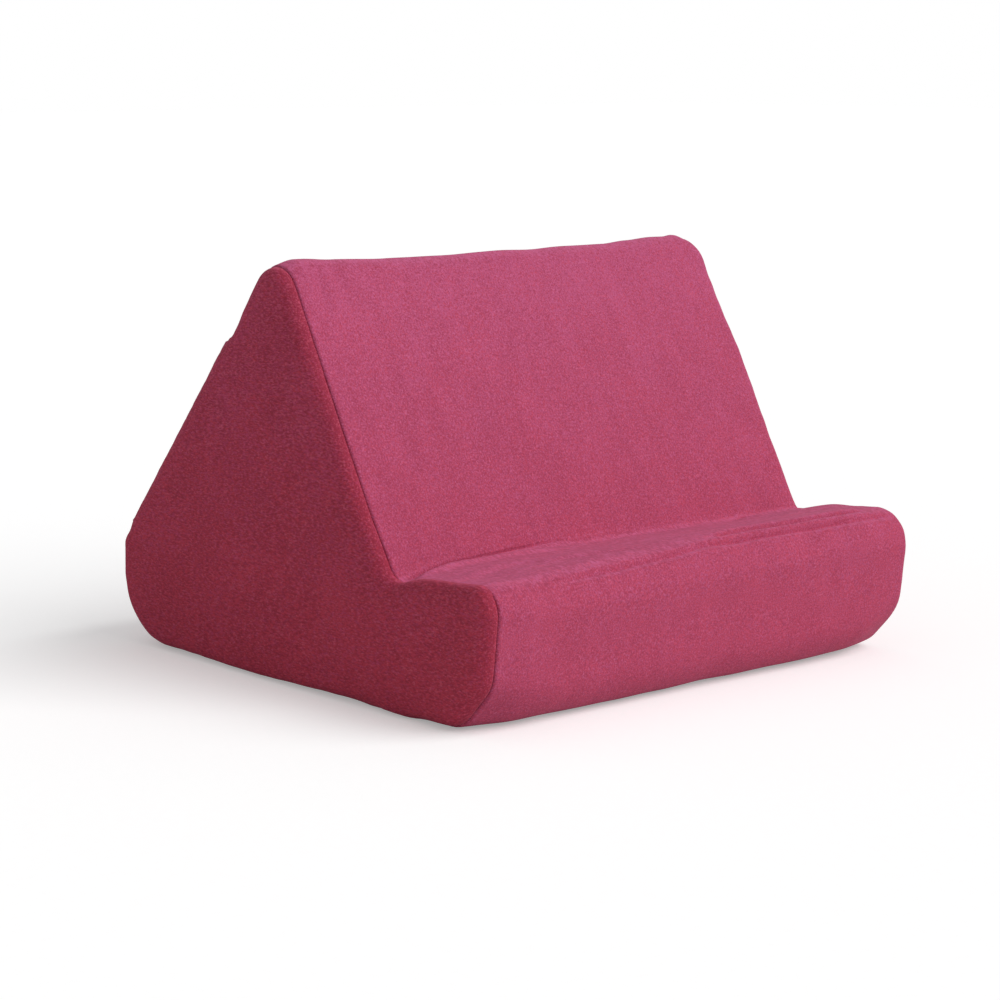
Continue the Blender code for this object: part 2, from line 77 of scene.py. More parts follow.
class Socket:
    """An output socket of a shader node, with its arithmetic written as Python operators."""

    def __init__(self, graph: "NodeGraph", output: bpy.types.NodeSocket) -> None:
        """Wrap one output of a node in graph."""
        self.graph = graph
        self.output = output

    def _apply(self, operation: str, *terms: "Socket | float") -> "Socket":
        """Add the node that works out operation on the terms.

        Args:
            operation: A Math or Vector Math operation.
            terms: Sockets and numbers, in the order of the node's sockets.

        Returns:
            The node's result.
        """
        vectors = any(isinstance(t, Socket) and t.output.type in {"VECTOR", "RGBA"} for t in terms)
        kind = "ShaderNodeVectorMath" if vectors else "ShaderNodeMath"
        return self.graph.node(kind, {"operation": operation}, dict(enumerate(terms)))

    def __add__(self, other: "Socket | float") -> "Socket":
        """Return self + other."""
        return self._apply("ADD", self, other)

    def __radd__(self, other: float) -> "Socket":
        """Return other + self."""
        return self._apply("ADD", other, self)

    def __sub__(self, other: "Socket | float") -> "Socket":
        """Return self - other."""
        return self._apply("SUBTRACT", self, other)

    def __rsub__(self, other: float) -> "Socket":
        """Return other - self."""
        return self._apply("SUBTRACT", other, self)

    def __mul__(self, other: "Socket | float") -> "Socket":
        """Return self * other."""
        return self._apply("MULTIPLY", self, other)

    def sine(self) -> "Socket":
        """Return the sine of self, in radians."""
        return self._apply("SINE", self)

    def clamped(self, low: float = 0.0, high: float = 1.0) -> "Socket":
        """Return self held between low and high."""
        return self.graph.node("ShaderNodeClamp", {}, {"Value": self, "Min": low, "Max": high})


class NodeGraph:
    """The shader graph of one material or of the world."""

    def __init__(self, tree: bpy.types.NodeTree) -> None:
        """Empty the tree, ready for new nodes."""
        self.tree = tree
        tree.nodes.clear()

    def feed(self, socket: bpy.types.NodeSocket, value: Any) -> None:
        """Link a Socket to an input, or set the input's own value.

        Args:
            socket: The input.
            value: A Socket, a number, or a colour or vector of three or four numbers.
        """
        if isinstance(value, Socket):
            self.tree.links.new(value.output, socket)
        elif isinstance(value, (int, float)) and hasattr(socket.default_value, "__len__"):
            socket.default_value = (value,) * len(socket.default_value)
        elif hasattr(value, "__len__") and socket.type == "RGBA" and len(value) == 3:
            socket.default_value = (*value, 1.0)
        else:
            socket.default_value = value

    def node(
        self,
        kind: str,
        settings: dict[str, Any] | None = None,
        inputs: dict[str | int, Any] | None = None,
        output: str | int = 0,
    ) -> Socket:
        """Add a node.

        Args:
            kind: The node's type.
            settings: Its properties, set first.
            inputs: Values or links of its sockets, by name or number.
            output: The socket to return, by name or number.

        Returns:
            The chosen output; a node without outputs gives an empty one.
        """
        made = self.tree.nodes.new(kind)
        for name, value in (settings or {}).items():
            setattr(made, name, value)
        for name, value in (inputs or {}).items():
            self.feed(made.inputs[name], value)
        return Socket(self, made.outputs[output] if len(made.outputs) else None)

    def object_place(self) -> Socket:
        """Return the place on the object, in metres."""
        return self.node("ShaderNodeTexCoord", output="Object")

    def across_and_up(self, vector: Socket) -> list[Socket]:
        """Return the X and Z parts of a vector."""
        return [
            self.node("ShaderNodeSeparateXYZ", {}, {"Vector": vector}, output=axis)
            for axis in ("X", "Z")
        ]

    def grain(self, place: Socket, size: float, detail: float = 2.0, rough: float = 0.5) -> Socket:
        """Return smooth noise.

        Args:
            place: Where it is read, in metres.
            size: The size of its features in millimetres.
            detail: Octaves of finer noise.
            rough: How strong the finer octaves are.

        Returns:
            A number from 0 to 1, about 0.5 on average.
        """
        return self.node(
            "ShaderNodeTexNoise",
            {"noise_dimensions": "3D"},
            {"Vector": place, "Scale": 1.0 / (size * MM), "Detail": detail, "Roughness": rough},
        )

    def blend(self, share: "Socket | float", first: Any, second: Any) -> Socket:
        """Return a mix of two colours; share is 0 for the first and 1 for the second."""
        return self.node(
            "ShaderNodeMix",
            {"data_type": "RGBA", "clamp_factor": True},
            {0: share, 6: first, 7: second},
            output=2,
        )

    def relief(self, height: Socket, depth: float, strength: float = 1.0) -> Socket:
        """Return the normal of a bumpy surface whose height of 1 stands depth millimetres high."""
        return self.node(
            "ShaderNodeBump", {}, {"Strength": strength, "Distance": depth * MM, "Height": height}
        )

    def surface(self, **sockets: Any) -> None:
        """Add the material's shader, with its sockets by name; underscores stand for spaces."""
        named = {name.replace("_", " "): value for name, value in sockets.items()}
        shader = self.node("ShaderNodeBsdfPrincipled", {}, named)
        self.node("ShaderNodeOutputMaterial", {}, {"Surface": shader})


@dataclass(frozen=True)
class Finish:
    """What every finish shares: a name, and the record's slot that it stands for."""

    name: str
    slot: str

    def paint(self, graph: NodeGraph) -> None:
        """Fill the material's graph."""
        raise NotImplementedError

    def material(self) -> bpy.types.Material:
        """Return the finish's material, made the first time that it is asked for."""
        known = bpy.data.materials.get(self.name)
        if known is not None:
            return known
        made = bpy.data.materials.new(self.name)
        made.use_nodes = True
        self.paint(NodeGraph(made.node_tree))
        return made


@dataclass(frozen=True)
class Velour(Finish):
    """Short-pile velour: a fine mottle of rose and lilac fibres, brushed nap and a soft sheen.

    It is deeper low on the cushion and to the right, and its grain is bolder on faces that look
    up. Painted shade deepens a band round mid height, where the ledge shades the rest, and can
    deepen a side panel's rim where it turns towards the lamp; faces that look up get a painted
    highlight, blended towards the paler crown colour. Sizes are in millimetres. Each weight is
    how far one noise or one direction shifts a blend.
    """

    rose: tuple[float, float, float] = (0.475, 0.060, 0.116)
    lilac: tuple[float, float, float] = (0.450, 0.080, 0.180)
    deep: tuple[float, float, float] = (0.300, 0.036, 0.080)
    frost: tuple[float, float, float] = (0.620, 0.150, 0.290)
    # crown: a painted highlight, paler and cooler, on faces that look up.
    crown: tuple[float, float, float] = (0.880, 0.220, 0.440)
    sheen: float = 0.07
    sheen_tint: tuple[float, float, float, float] = (1.0, 0.5, 0.75, 1.0)
    rise: float = 0.7
    # band: painted shade, a darker band round mid_height_metres where the ledge shades the rest.
    band: float = 0.12
    # shade: painted shade on a side panel's rim, darkest where the cloth turns from the panel's face
    # towards the lamp.
    shade: float = 0.0
    fleck_size: float = 1.1
    pile_size: float = 0.85
    nap_size: float = 34.0
    creep_size: float = 5.0
    mid_height_metres: float = 0.12
    brush: tuple[float, float, float] = (1.0, 0.35, 1.0)
    lint_brush: tuple[float, float, float] = (0.6, 0.22, 0.6)
    streak_brush: tuple[float, float, float] = (1.0, 0.35, 0.35)
    creep_brush: tuple[float, float, float] = (0.1, 1.0, 1.0)
    fleck_weight: float = 3.8
    lint_hue_weight: float = 2.5
    cloud_weight: float = 0.9
    height_hue_weight: float = 4.0
    streak_weight: float = 0.6
    creep_weight: float = 1.3
    across_weight: float = 0.5
    pile_weight: float = 2.5
    lint_dark_weight: float = 3.2
    most_dark: float = 0.85
    tips_weight: float = 2.4
    most_light: float = 0.4
    roughness: float = 0.86
    relief_depth: float = 0.3
    relief_strength: float = 0.75

    def paint(self, graph: NodeGraph) -> None:
        """Fill the material's graph."""
        place = graph.object_place()
        across, height = graph.across_and_up(place)
        tall = height - self.mid_height_metres
        facing = graph.node("ShaderNodeNewGeometry", {}, {}, output="Normal")
        sideways, upward = graph.across_and_up(facing)
        fine = {"detail": 1.0, "rough": 0.8}
        lint = graph.grain(place * self.lint_brush, self.fleck_size, **fine)
        brushed = place * self.brush
        fleck = graph.grain(brushed, self.fleck_size, **fine)
        pile = graph.grain(brushed + 0.37, self.pile_size, **fine)
        tips = graph.grain(brushed + 0.71, self.pile_size, **fine)
        cloud = graph.grain(place, self.nap_size, 3.0, 0.55)
        streak = graph.grain(place * self.streak_brush, self.nap_size * 0.3)
        creep = graph.grain(place * self.creep_brush, self.creep_size)
        bold = (upward - 0.6).clamped(0.0, 0.4) * 3.0
        hue = (fleck - 0.5) * self.fleck_weight - (lint - 0.5) * bold * self.lint_hue_weight
        hue = hue + (cloud - 0.5) * self.cloud_weight + tall * self.height_hue_weight + 0.5
        # lie gathers the nap's streaks and creep, the gradients by height and across, and the painted
        # shade below.
        lie = (streak - 0.5) * self.streak_weight + (creep - 0.5) * bold * self.creep_weight
        lie = lie - tall * self.rise - across * self.across_weight
        # Painted shade: a darker band round mid height where the ledge shades the rest, and a darker
        # side panel rim where it turns towards the lamp.
        lie = lie + (self.band - tall * tall * 30.0).clamped()
        lie = lie + (1.0 - sideways * sideways) * self.shade
        # dark is the pile's own grain plus lie, so it carries the painted shade too.
        dark = (pile - 0.5) * self.pile_weight + (lint - 0.5) * bold * self.lint_dark_weight
        dark = (dark + lie + 0.33).clamped(0.0, self.most_dark)
        light = ((tips - 0.5) * self.tips_weight + tall * 0.5 - 0.05).clamped(0.0, self.most_light)
        colour = graph.blend(dark, graph.blend(hue.clamped(), self.rose, self.lilac), self.deep)
        colour = graph.blend(light, colour, self.frost)
        # Painted highlight: faces that look up are blended towards the paler, cooler crown colour.
        colour = graph.blend(((upward - 0.75) * 0.7).clamped(0.0, 0.16), colour, self.crown)
        fluff = fleck * 0.5 - pile * 0.6 + streak * 0.9
        graph.surface(
            Base_Color=colour,
            Roughness=(self.roughness + (fleck - 0.5) * 0.2).clamped(),
            Specular_IOR_Level=0.12,
            Sheen_Weight=self.sheen,
            Sheen_Roughness=0.5,
            Sheen_Tint=self.sheen_tint,
            Normal=graph.relief(fluff, self.relief_depth, self.relief_strength),
        )


@dataclass(frozen=True)
class Foam(Finish):
    """Cut polyurethane foam: pale, matt and full of small open cells."""

    pale: tuple[float, float, float] = (0.82, 0.78, 0.62)
    cell: tuple[float, float, float] = (0.60, 0.55, 0.40)
    cell_size: float = 1.4
    cloud_size: float = 18.0

    def paint(self, graph: NodeGraph) -> None:
        """Fill the material's graph."""
        place = graph.object_place()
        scale = 1.0 / (self.cell_size * MM)
        cells = graph.node("ShaderNodeTexVoronoi", {}, {"Vector": place, "Scale": scale})
        cloud = graph.grain(place, self.cloud_size)
        open_share = (cells * 1.1 - 0.1 + (cloud - 0.5) * 0.4).clamped()
        colour = graph.blend(open_share, self.cell, self.pale)
        graph.surface(Base_Color=colour, Roughness=0.95, Normal=graph.relief(cells, 0.5))


@dataclass(frozen=True)
class Weave(Finish):
    """Woven zip tape: fine ribs along the zip, crossed by the weft."""

    dark: tuple[float, float, float] = (0.24, 0.022, 0.055)
    light: tuple[float, float, float] = (0.42, 0.052, 0.125)
    rib: float = 0.9
    weft: float = 0.45
    lint_size: float = 0.5

    def paint(self, graph: NodeGraph) -> None:
        """Fill the material's graph."""
        place = graph.object_place()
        across, height = graph.across_and_up(place)
        ribs = (height * (math.tau / (self.rib * MM))).sine() * 0.5 + 0.5
        wefts = (across * (math.tau / (self.weft * MM))).sine() * 0.5 + 0.5
        woven = ribs * 0.6 + wefts * 0.4
        lint = graph.grain(place, self.lint_size)
        light_share = (woven * 0.8 + (lint - 0.5) * 0.6 + 0.1).clamped()
        colour = graph.blend(light_share, self.dark, self.light)
        graph.surface(
            Base_Color=colour,
            Roughness=0.8,
            Sheen_Weight=0.15,
            Normal=graph.relief(woven + lint * 0.3, 0.12),
        )


@dataclass(frozen=True)
class Nylon(Finish):
    """The coil's nylon filament: dyed, smooth and a little glossy."""

    colour: tuple[float, float, float] = (0.40, 0.055, 0.13)
    streak_size: float = 0.8

    def paint(self, graph: NodeGraph) -> None:
        """Fill the material's graph."""
        place = graph.object_place()
        streak = graph.grain(place, self.streak_size)
        deep = tuple(0.72 * part for part in self.colour)
        graph.surface(
            Base_Color=graph.blend(streak, deep, self.colour),
            Roughness=(0.34 + (streak - 0.5) * 0.2).clamped(),
            Normal=graph.relief(streak, 0.03),
        )


@dataclass(frozen=True)
class Metal(Finish):
    """Plated zip metal: satin, with faint brushing and rubbed spots."""

    bright: tuple[float, float, float] = (0.62, 0.61, 0.60)
    dull: tuple[float, float, float] = (0.42, 0.42, 0.43)
    spot_size: float = 2.6
    brush_size: float = 0.3

    def paint(self, graph: NodeGraph) -> None:
        """Fill the material's graph."""
        place = graph.object_place()
        spots = graph.grain(place, self.spot_size, 3.0)
        brush = graph.grain(place, self.brush_size, 1.0)
        graph.surface(
            Base_Color=graph.blend(spots, self.dull, self.bright),
            Metallic=1.0,
            Roughness=(0.27 + (spots - 0.5) * 0.3 + (brush - 0.5) * 0.1).clamped(0.12, 0.6),
            Normal=graph.relief(brush, 0.02),
        )


@dataclass(frozen=True)
class Thread(Finish):
    """Spun sewing thread, a shade deeper than the velour."""

    colour: tuple[float, float, float] = (0.36, 0.034, 0.088)
    ply_size: float = 0.35

    def paint(self, graph: NodeGraph) -> None:
        """Fill the material's graph."""
        place = graph.object_place()
        ply = graph.grain(place, self.ply_size)
        deep = tuple(0.6 * part for part in self.colour)
        graph.surface(
            Base_Color=graph.blend(ply, deep, self.colour),
            Roughness=0.7,
            Sheen_Weight=0.2,
            Normal=graph.relief(ply, 0.08),
        )


VELOUR = Velour("velour_rose", "velour")
# Painted shade: the side panels' copy of the velour has redder, less blue colours than the strip's,
# standing for the shade on faces turned from the lamp, a painted deeper rim, and its height gradient
# the other way round.
SHADED_SIDE_VELOUR = Velour(
    "velour_rose_side", "velour",
    rose=(0.480, 0.044, 0.078), lilac=(0.445, 0.054, 0.126), deep=(0.265, 0.022, 0.046),
    frost=(0.640, 0.120, 0.195), crown=(0.620, 0.085, 0.160),
    rise=-0.7, band=0.0, shade=0.5,
)
FOAM = Foam("foam_cream", "foam")
TAPE = Weave("zip_tape_woven", "zip_tape")
COIL = Nylon("zip_coil_nylon", "zip_coil")
METAL = Metal("zip_metal_satin", "zip_metal")
THREAD = Thread("thread_rose", "velour")


# Meshes


def linked(name: str, data: bpy.types.ID | None) -> bpy.types.Object:
    """Make an object of a mesh, a lamp or a camera, in the scene."""
    made = bpy.data.objects.new(name, data)
    bpy.context.scene.collection.objects.link(made)
    return made


def dressed(name: str, mesh: bpy.types.Mesh, finish: Finish, body: str) -> bpy.types.Object:
    """Make a piece of a mesh, with its finish's material, and let it ride on a body."""
    mesh.materials.clear()
    mesh.materials.append(finish.material())
    made = linked(name, mesh)
    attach(made, body)
    LOG.info("%s: %d faces on %s", name, len(mesh.polygons), body)
    return made


@dataclass
class Piece:
    """Collects the points and faces of one piece, in the part's frame."""

    name: str
    points: list[tuple[float, float, float]] = field(default_factory=list)
    faces: list[tuple[int, ...]] = field(default_factory=list)

    def add(self, places: np.ndarray) -> np.ndarray:
        """Add points.

        Args:
            places: An array whose last axis is X, Y, Z in millimetres.

        Returns:
            The points' numbers, in the shape of the other axes.
        """
        flat = np.asarray(places, float).reshape(-1, 3)
        first = len(self.points)
        self.points.extend(map(tuple, flat))
        return np.arange(first, first + len(flat)).reshape(np.shape(places)[:-1])

    def skin(self, rows: np.ndarray, ring: bool = False, skip: np.ndarray | None = None) -> None:
        """Join a grid of numbered points with four-sided faces.

        Args:
            rows: The numbers, rows by columns; faces look along columns x rows.
            ring: Whether the last row joins the first.
            skip: Marks the faces to leave out, by their first row and column.
        """
        after = np.roll(rows, -1, axis=0) if ring else rows[1:]
        here = rows if ring else rows[:-1]
        quads = np.stack([here[:, :-1], here[:, 1:], after[:, 1:], after[:, :-1]], axis=-1)
        if skip is not None:
            quads = quads[~skip]
        self.faces.extend(map(tuple, quads.reshape(-1, 4).tolist()))

    def fill(self, corners: Sequence[int]) -> None:
        """Add one face."""
        self.faces.append(tuple(int(i) for i in corners))

    def tube(self, path: np.ndarray, radius: float, sides: int) -> None:
        """Add a round tube along a path, closed at each end by a small cone.

        Args:
            path: Its centre line, points by X, Y, Z.
            radius: Its radius.
            sides: How many faces go round it.
        """
        path = np.asarray(path, float)
        along = np.gradient(path, axis=0)
        along /= np.linalg.norm(along, axis=1, keepdims=True)
        up = np.array([0.0, 0.0, 1.0]) if abs(along[0, 2]) < 0.9 else np.array([1.0, 0.0, 0.0])
        frames = []
        for heading in along:
            side = np.cross(heading, up)
            side /= np.linalg.norm(side)
            up = np.cross(side, heading)
            frames.append((side, up))
        angles = np.arange(sides) * math.tau / sides
        rings = [
            [p + radius * (math.cos(a) * s + math.sin(a) * u) for a in angles]
            for p, (s, u) in zip(path, frames)
        ]
        rows = self.add(np.array(rings))
        closed = np.concatenate([rows, rows[:, :1]], axis=1)
        self.skin(closed[:, ::-1])
        cone = radius * 0.6
        tips = self.add(np.array([path[0] - along[0] * cone, path[-1] + along[-1] * cone]))
        for i in range(sides):
            j = (i + 1) % sides
            self.fill((rows[0, i], rows[0, j], tips[0]))
            self.fill((rows[-1, j], rows[-1, i], tips[1]))

    def build(self, finish: Finish, smooth_angle: float | None = None) -> bpy.types.Object:
        """Make the object, which rides on the cushion.

        Args:
            finish: Its material and slot.
            smooth_angle: Edges sharper than this many degrees stay sharp.

        Returns:
            The object.
        """
        mesh = bpy.data.meshes.new(self.name)
        used = np.unique(np.concatenate([np.array(face) for face in self.faces]))
        renumber = np.zeros(len(self.points), int)
        renumber[used] = np.arange(len(used))
        scaled = np.asarray(self.points)[used] * MM
        mesh.from_pydata(scaled.tolist(), [], [renumber[list(face)].tolist() for face in self.faces])
        mesh.validate()
        mesh.shade_smooth()
        if smooth_angle is not None:
            mesh.set_sharp_from_angle(angle=math.radians(smooth_angle))
        return dressed(self.name, mesh, finish, "cushion")


def ease(value: np.ndarray | float, low: float, high: float) -> np.ndarray:
    """Return a smooth step: 0 up to low and 1 from high on; high may be the smaller one."""
    share = np.clip((np.asarray(value, float) - low) / (high - low), 0.0, 1.0)
    return share * share * (3.0 - 2.0 * share)


def bump(off: np.ndarray, width: float) -> np.ndarray:
    """Return a soft bump: 1 where off is 0, and near 0 from twice the width on."""
    return np.exp(-((off / width) ** 2))


def ripple(across: np.ndarray, along: np.ndarray, size: float, seed: float) -> np.ndarray:
    """Return smooth noise over a surface.

    Args:
        across: One coordinate of each point.
        along: The other coordinate.
        size: The size of its features.
        seed: Sets one pattern apart from another.

    Returns:
        Numbers from about -1 to 1, the same on each run.
    """
    flat = zip(np.ravel(across) / size, np.ravel(along) / size)
    values = [noise.noise(Vector((u, v, seed))) for u, v in flat]
    return np.array(values).reshape(np.shape(across)) * 1.6


def graded(length: float, first: float, last: float) -> np.ndarray:
    """Return shares from 0 to 1 along a length, with steps that grow evenly from first to last."""
    count = max(2, round(2 * length / (first + last)))
    steps = np.linspace(first, last, count)
    return np.concatenate([[0.0], np.cumsum(steps) / steps.sum()])


def crossing(
    point: np.ndarray, heading: np.ndarray, other: np.ndarray, toward: np.ndarray
) -> np.ndarray:
    """Return where two lines of the profile plane cross."""
    span = heading[0] * toward[1] - heading[1] * toward[0]
    gap = other - point
    return point + heading * (gap[0] * toward[1] - gap[1] * toward[0]) / span


def follow(x: np.ndarray | float, line: Sequence[tuple[float, float]]) -> np.ndarray:
    """Return a soft curve through points.

    Args:
        x: Where it is read.
        line: The points, from the lowest place to the highest, each a place and a value.

    Returns:
        Its value at each x; level before the first point and after the last.
    """
    places, values = (np.array(column, float) for column in zip(*line))
    x = np.clip(np.asarray(x, float), places[0], places[-1])
    after = np.clip(np.searchsorted(places, x, side="right"), 1, len(places) - 1)
    share = (x - places[after - 1]) / (places[after] - places[after - 1])
    return values[after - 1] + (values[after] - values[after - 1]) * ease(share, 0.0, 1.0)


@dataclass(frozen=True)
class Corner:
    """One corner of the profile, with the spacing of points on it and on the stretch after it."""

    name: str
    place: tuple[float, float]
    radius: float
    turn_step: float
    first_step: float
    last_step: float


@dataclass(frozen=True)
class CushionForm:
    """The cushion's outside: a profile from front to back that changes a little across it.

    The profile starts at the foot of the front lip, its Y counted from there. A span is where an
    effect starts and where it is full, as heights or as distances from the middle.
    """

    seam_half: float = 142.0
    depth: float = 307.0
    front_lean: float = 8.0
    nose_height: float = 74.9
    ledge_depth: float = 80.0
    valley_height: float = 67.3
    rest_angle: float = 60.9
    back_angle: float = 49.4
    heel_height: float = 54.9
    toe_radius: float = 24.5
    toe_radius_ends: float = 34.0
    nose_radius: float = 18.4
    nose_radius_left: float = 13.0
    valley_radius: float = 7.0
    valley_radius_ends: float = 4.5
    valley_radius_left: float = 12.0
    ridge_radius: float = 13.5
    ridge_radius_ends: float = 17.0
    heel_radius: float = 13.0
    rear_radius: float = 37.99
    slot_height: float = 10.0
    slot_half: float = 125.0
    zip_height: float = 44.041
    mouth_height: float = 171.0
    front_shift: float = -157.107
    nose_tilt: float = 3.2
    nose_lift: float = 2.35
    left_lift: float = 1.3
    front_hollow: float = 2.64
    valley_drop: float = 3.9
    valley_pull: float = 4.0
    toe_tuck: float = 3.0
    mouth_tuck: float = 1.9
    right_draw: float = 1.7
    right_swell: float = 1.0
    lip_reach: float = 40.0
    lip_foot: float = 15.0
    ridge_span: tuple[float, float] = (120.0, 205.0)
    left_lift_span: tuple[float, float] = (108.0, 140.0)
    valley_reach: float = 16.0
    valley_span: tuple[float, float] = (100.0, 78.0)
    valley_drop_span: tuple[float, float] = (100.0, 140.0)
    valley_pull_span: tuple[float, float] = (122.0, 142.0)
    toe_middle: tuple[float, float] = (15.0, 12.0)
    toe_size: float = 13.0
    right_end: tuple[float, float] = (118.0, 147.0)
    right_draw_span: tuple[float, float] = (150.0, 182.0)
    swell_height: float = 140.0
    swell_size: float = 20.0
    ridge_line: tuple[tuple[float, float], ...] = (
        (-142, 1.9), (-126, 1.7), (-108, 0.8), (-75, -0.8), (-38, -1.2), (2, 0.0), (28, -0.8),
        (48, -0.2), (80, -0.6), (98, 0.8), (116, 1.7), (126, 1.8), (134, 2.7), (140, 2.6), (147, 1.2),
    )

    def corners(self, across: float) -> list[Corner]:
        """Return the profile's corners at one place across, clockwise from the front foot."""
        rest, back = math.radians(self.rest_angle), math.radians(self.back_angle)
        valley = np.array([self.ledge_depth, self.valley_height])
        heel = np.array([self.depth, self.heel_height])
        ridge = crossing(
            valley, np.array([math.cos(rest), math.sin(rest)]),
            heel, np.array([-math.cos(back), math.sin(back)]),
        )
        share = min(abs(across) / self.seam_half, 1.0)
        toe = self.toe_radius + (self.toe_radius_ends - self.toe_radius) * share ** 6
        fold = self.valley_radius + (self.valley_radius_ends - self.valley_radius) * share ** 2
        left = ease(-across, 96.0, 140.0)
        fold = fold + (self.valley_radius_left - fold) * left
        nose = self.nose_radius + (self.nose_radius_left - self.nose_radius) * left
        near_end = ease(share, 0.92, 1.0)
        top = self.ridge_radius + (self.ridge_radius_ends - self.ridge_radius) * near_end
        return [
            Corner("toe", (self.front_lean, 0.0), toe, 2.2, 2.2, 1.4),
            Corner("nose", (0.0, self.nose_height), nose, 0.55, 0.55, 0.9),
            Corner("valley", tuple(valley), fold, 0.5, 0.6, 2.6),
            Corner("ridge", tuple(ridge), top, 1.2, 2.6, 2.6),
            Corner("heel", tuple(heel), self.heel_radius, 1.6, 1.0, 1.0),
            Corner("rear", (self.depth, 0.0), self.rear_radius, 2.4, 5.0, 5.0),
        ]

    def section(self, across: float, inset: float | np.ndarray = 0.0) -> np.ndarray:
        """Return the profile at one place across.

        Args:
            across: X.
            inset: How far inside the outline it runs.

        Returns:
            Points by Y and Z; every place across and every inset has as many.
        """
        corners, nominal = self.corners(across), self.corners(0.0)
        count = len(corners)
        spots = [np.array(c.place) for c in corners]
        headings, turns = self.headings(), self.turns()
        arcs, shares = [], []
        for i, corner in enumerate(corners):
            before, after = headings[i - 1], headings[i]
            start = spots[i] + np.array([before[1], -before[0]]) * inset
            end = spots[i] + np.array([after[1], -after[0]]) * inset
            tip = crossing(start, before, end, after)
            turn = turns[i]
            bend = corner.radius + inset if turn > 0 else max(corner.radius - inset, 0.8)
            first = tip - before * bend * math.tan(abs(turn) / 2)
            spoke = np.array([-before[1], before[0]]) * math.copysign(bend, turn)
            steps = self.arc_steps(nominal[i], turn)
            angles = np.linspace(0.0, turn, steps + 1)
            cosine, sine = np.cos(angles), np.sin(angles)
            arm = -spoke
            arcs.append(np.column_stack([
                first[0] + spoke[0] + cosine * arm[0] - sine * arm[1],
                first[1] + spoke[1] + sine * arm[0] + cosine * arm[1],
            ]))
            length = float(np.linalg.norm(spots[(i + 1) % count] - spots[i]))
            shares.append(self.stretch_shares(corner, length))
        parts = []
        for i, arc in enumerate(arcs):
            following = arcs[(i + 1) % count][0]
            between = shares[i][1:-1, None]
            parts += [arc, arc[-1] + (following - arc[-1]) * between]
        return np.concatenate(parts)

    def arc_steps(self, corner: Corner, turn: float) -> int:
        """Return how many faces go round a corner of the middle of the cushion."""
        return max(4, math.ceil(abs(turn) * corner.radius / corner.turn_step))

    def stretch_shares(self, corner: Corner, length: float) -> np.ndarray:
        """Return where the points of the straight stretch after a corner lie, as shares of it."""
        if corner.name != "heel":
            return graded(length, corner.first_step, corner.last_step)
        turn = math.pi / 2 - math.radians(self.back_angle)
        top = self.heel_height - self.heel_radius * math.tan(turn / 2)
        flat = top - self.rear_radius
        edges = [(top - self.zip_height - k * self.slot_height / 2) / flat for k in (1, 0, -1)]
        return np.array([0.0, *edges, 1.0])

    def headings(self) -> list[np.ndarray]:
        """Return the direction of each straight stretch of the profile."""
        spots = [np.array(c.place) for c in self.corners(0.0)]
        runs = [spots[(i + 1) % len(spots)] - spots[i] for i in range(len(spots))]
        return [run / np.linalg.norm(run) for run in runs]

    def turns(self) -> list[float]:
        """Return how far the profile turns at each corner, in radians."""
        after = self.headings()
        return [
            math.atan2(b[0] * a[1] - b[1] * a[0], float(b @ a))
            for b, a in zip(after[-1:] + after[:-1], after)
        ]

    def marks(self) -> dict[str, int]:
        """Return the number of the first profile point of each corner and each slot edge."""
        found, position = {}, 0
        nominal = self.corners(0.0)
        for i, (corner, turn) in enumerate(zip(nominal, self.turns())):
            found[corner.name] = position
            steps = self.arc_steps(corner, turn)
            following = np.array(nominal[(i + 1) % len(nominal)].place)
            length = float(np.linalg.norm(following - np.array(corner.place)))
            found[corner.name + "_end"] = position + steps
            if corner.name == "heel":
                found["slot_top"] = position + steps + 1
                found["slot_bottom"] = position + steps + 3
            position += steps + 1 + len(self.stretch_shares(corner, length)) - 2
        return found

    def lengths(self) -> np.ndarray:
        """Return the distance along the profile of each of its points, from the front foot."""
        points = self.section(0.0)
        steps = np.linalg.norm(np.diff(points, axis=0), axis=1)
        return np.concatenate([[0.0], np.cumsum(steps)])

    def landmark(self, name: str) -> float:
        """Return the distance along the profile of the middle of a corner."""
        marks, lengths = self.marks(), self.lengths()
        return float(lengths[marks[name]] + lengths[marks[name + "_end"]]) / 2

    def back_normal(self) -> np.ndarray:
        """Return the direction out of the sloping back, as X, Y and Z."""
        angle = math.radians(self.back_angle)
        return np.array([0.0, math.sin(angle), math.cos(angle)])

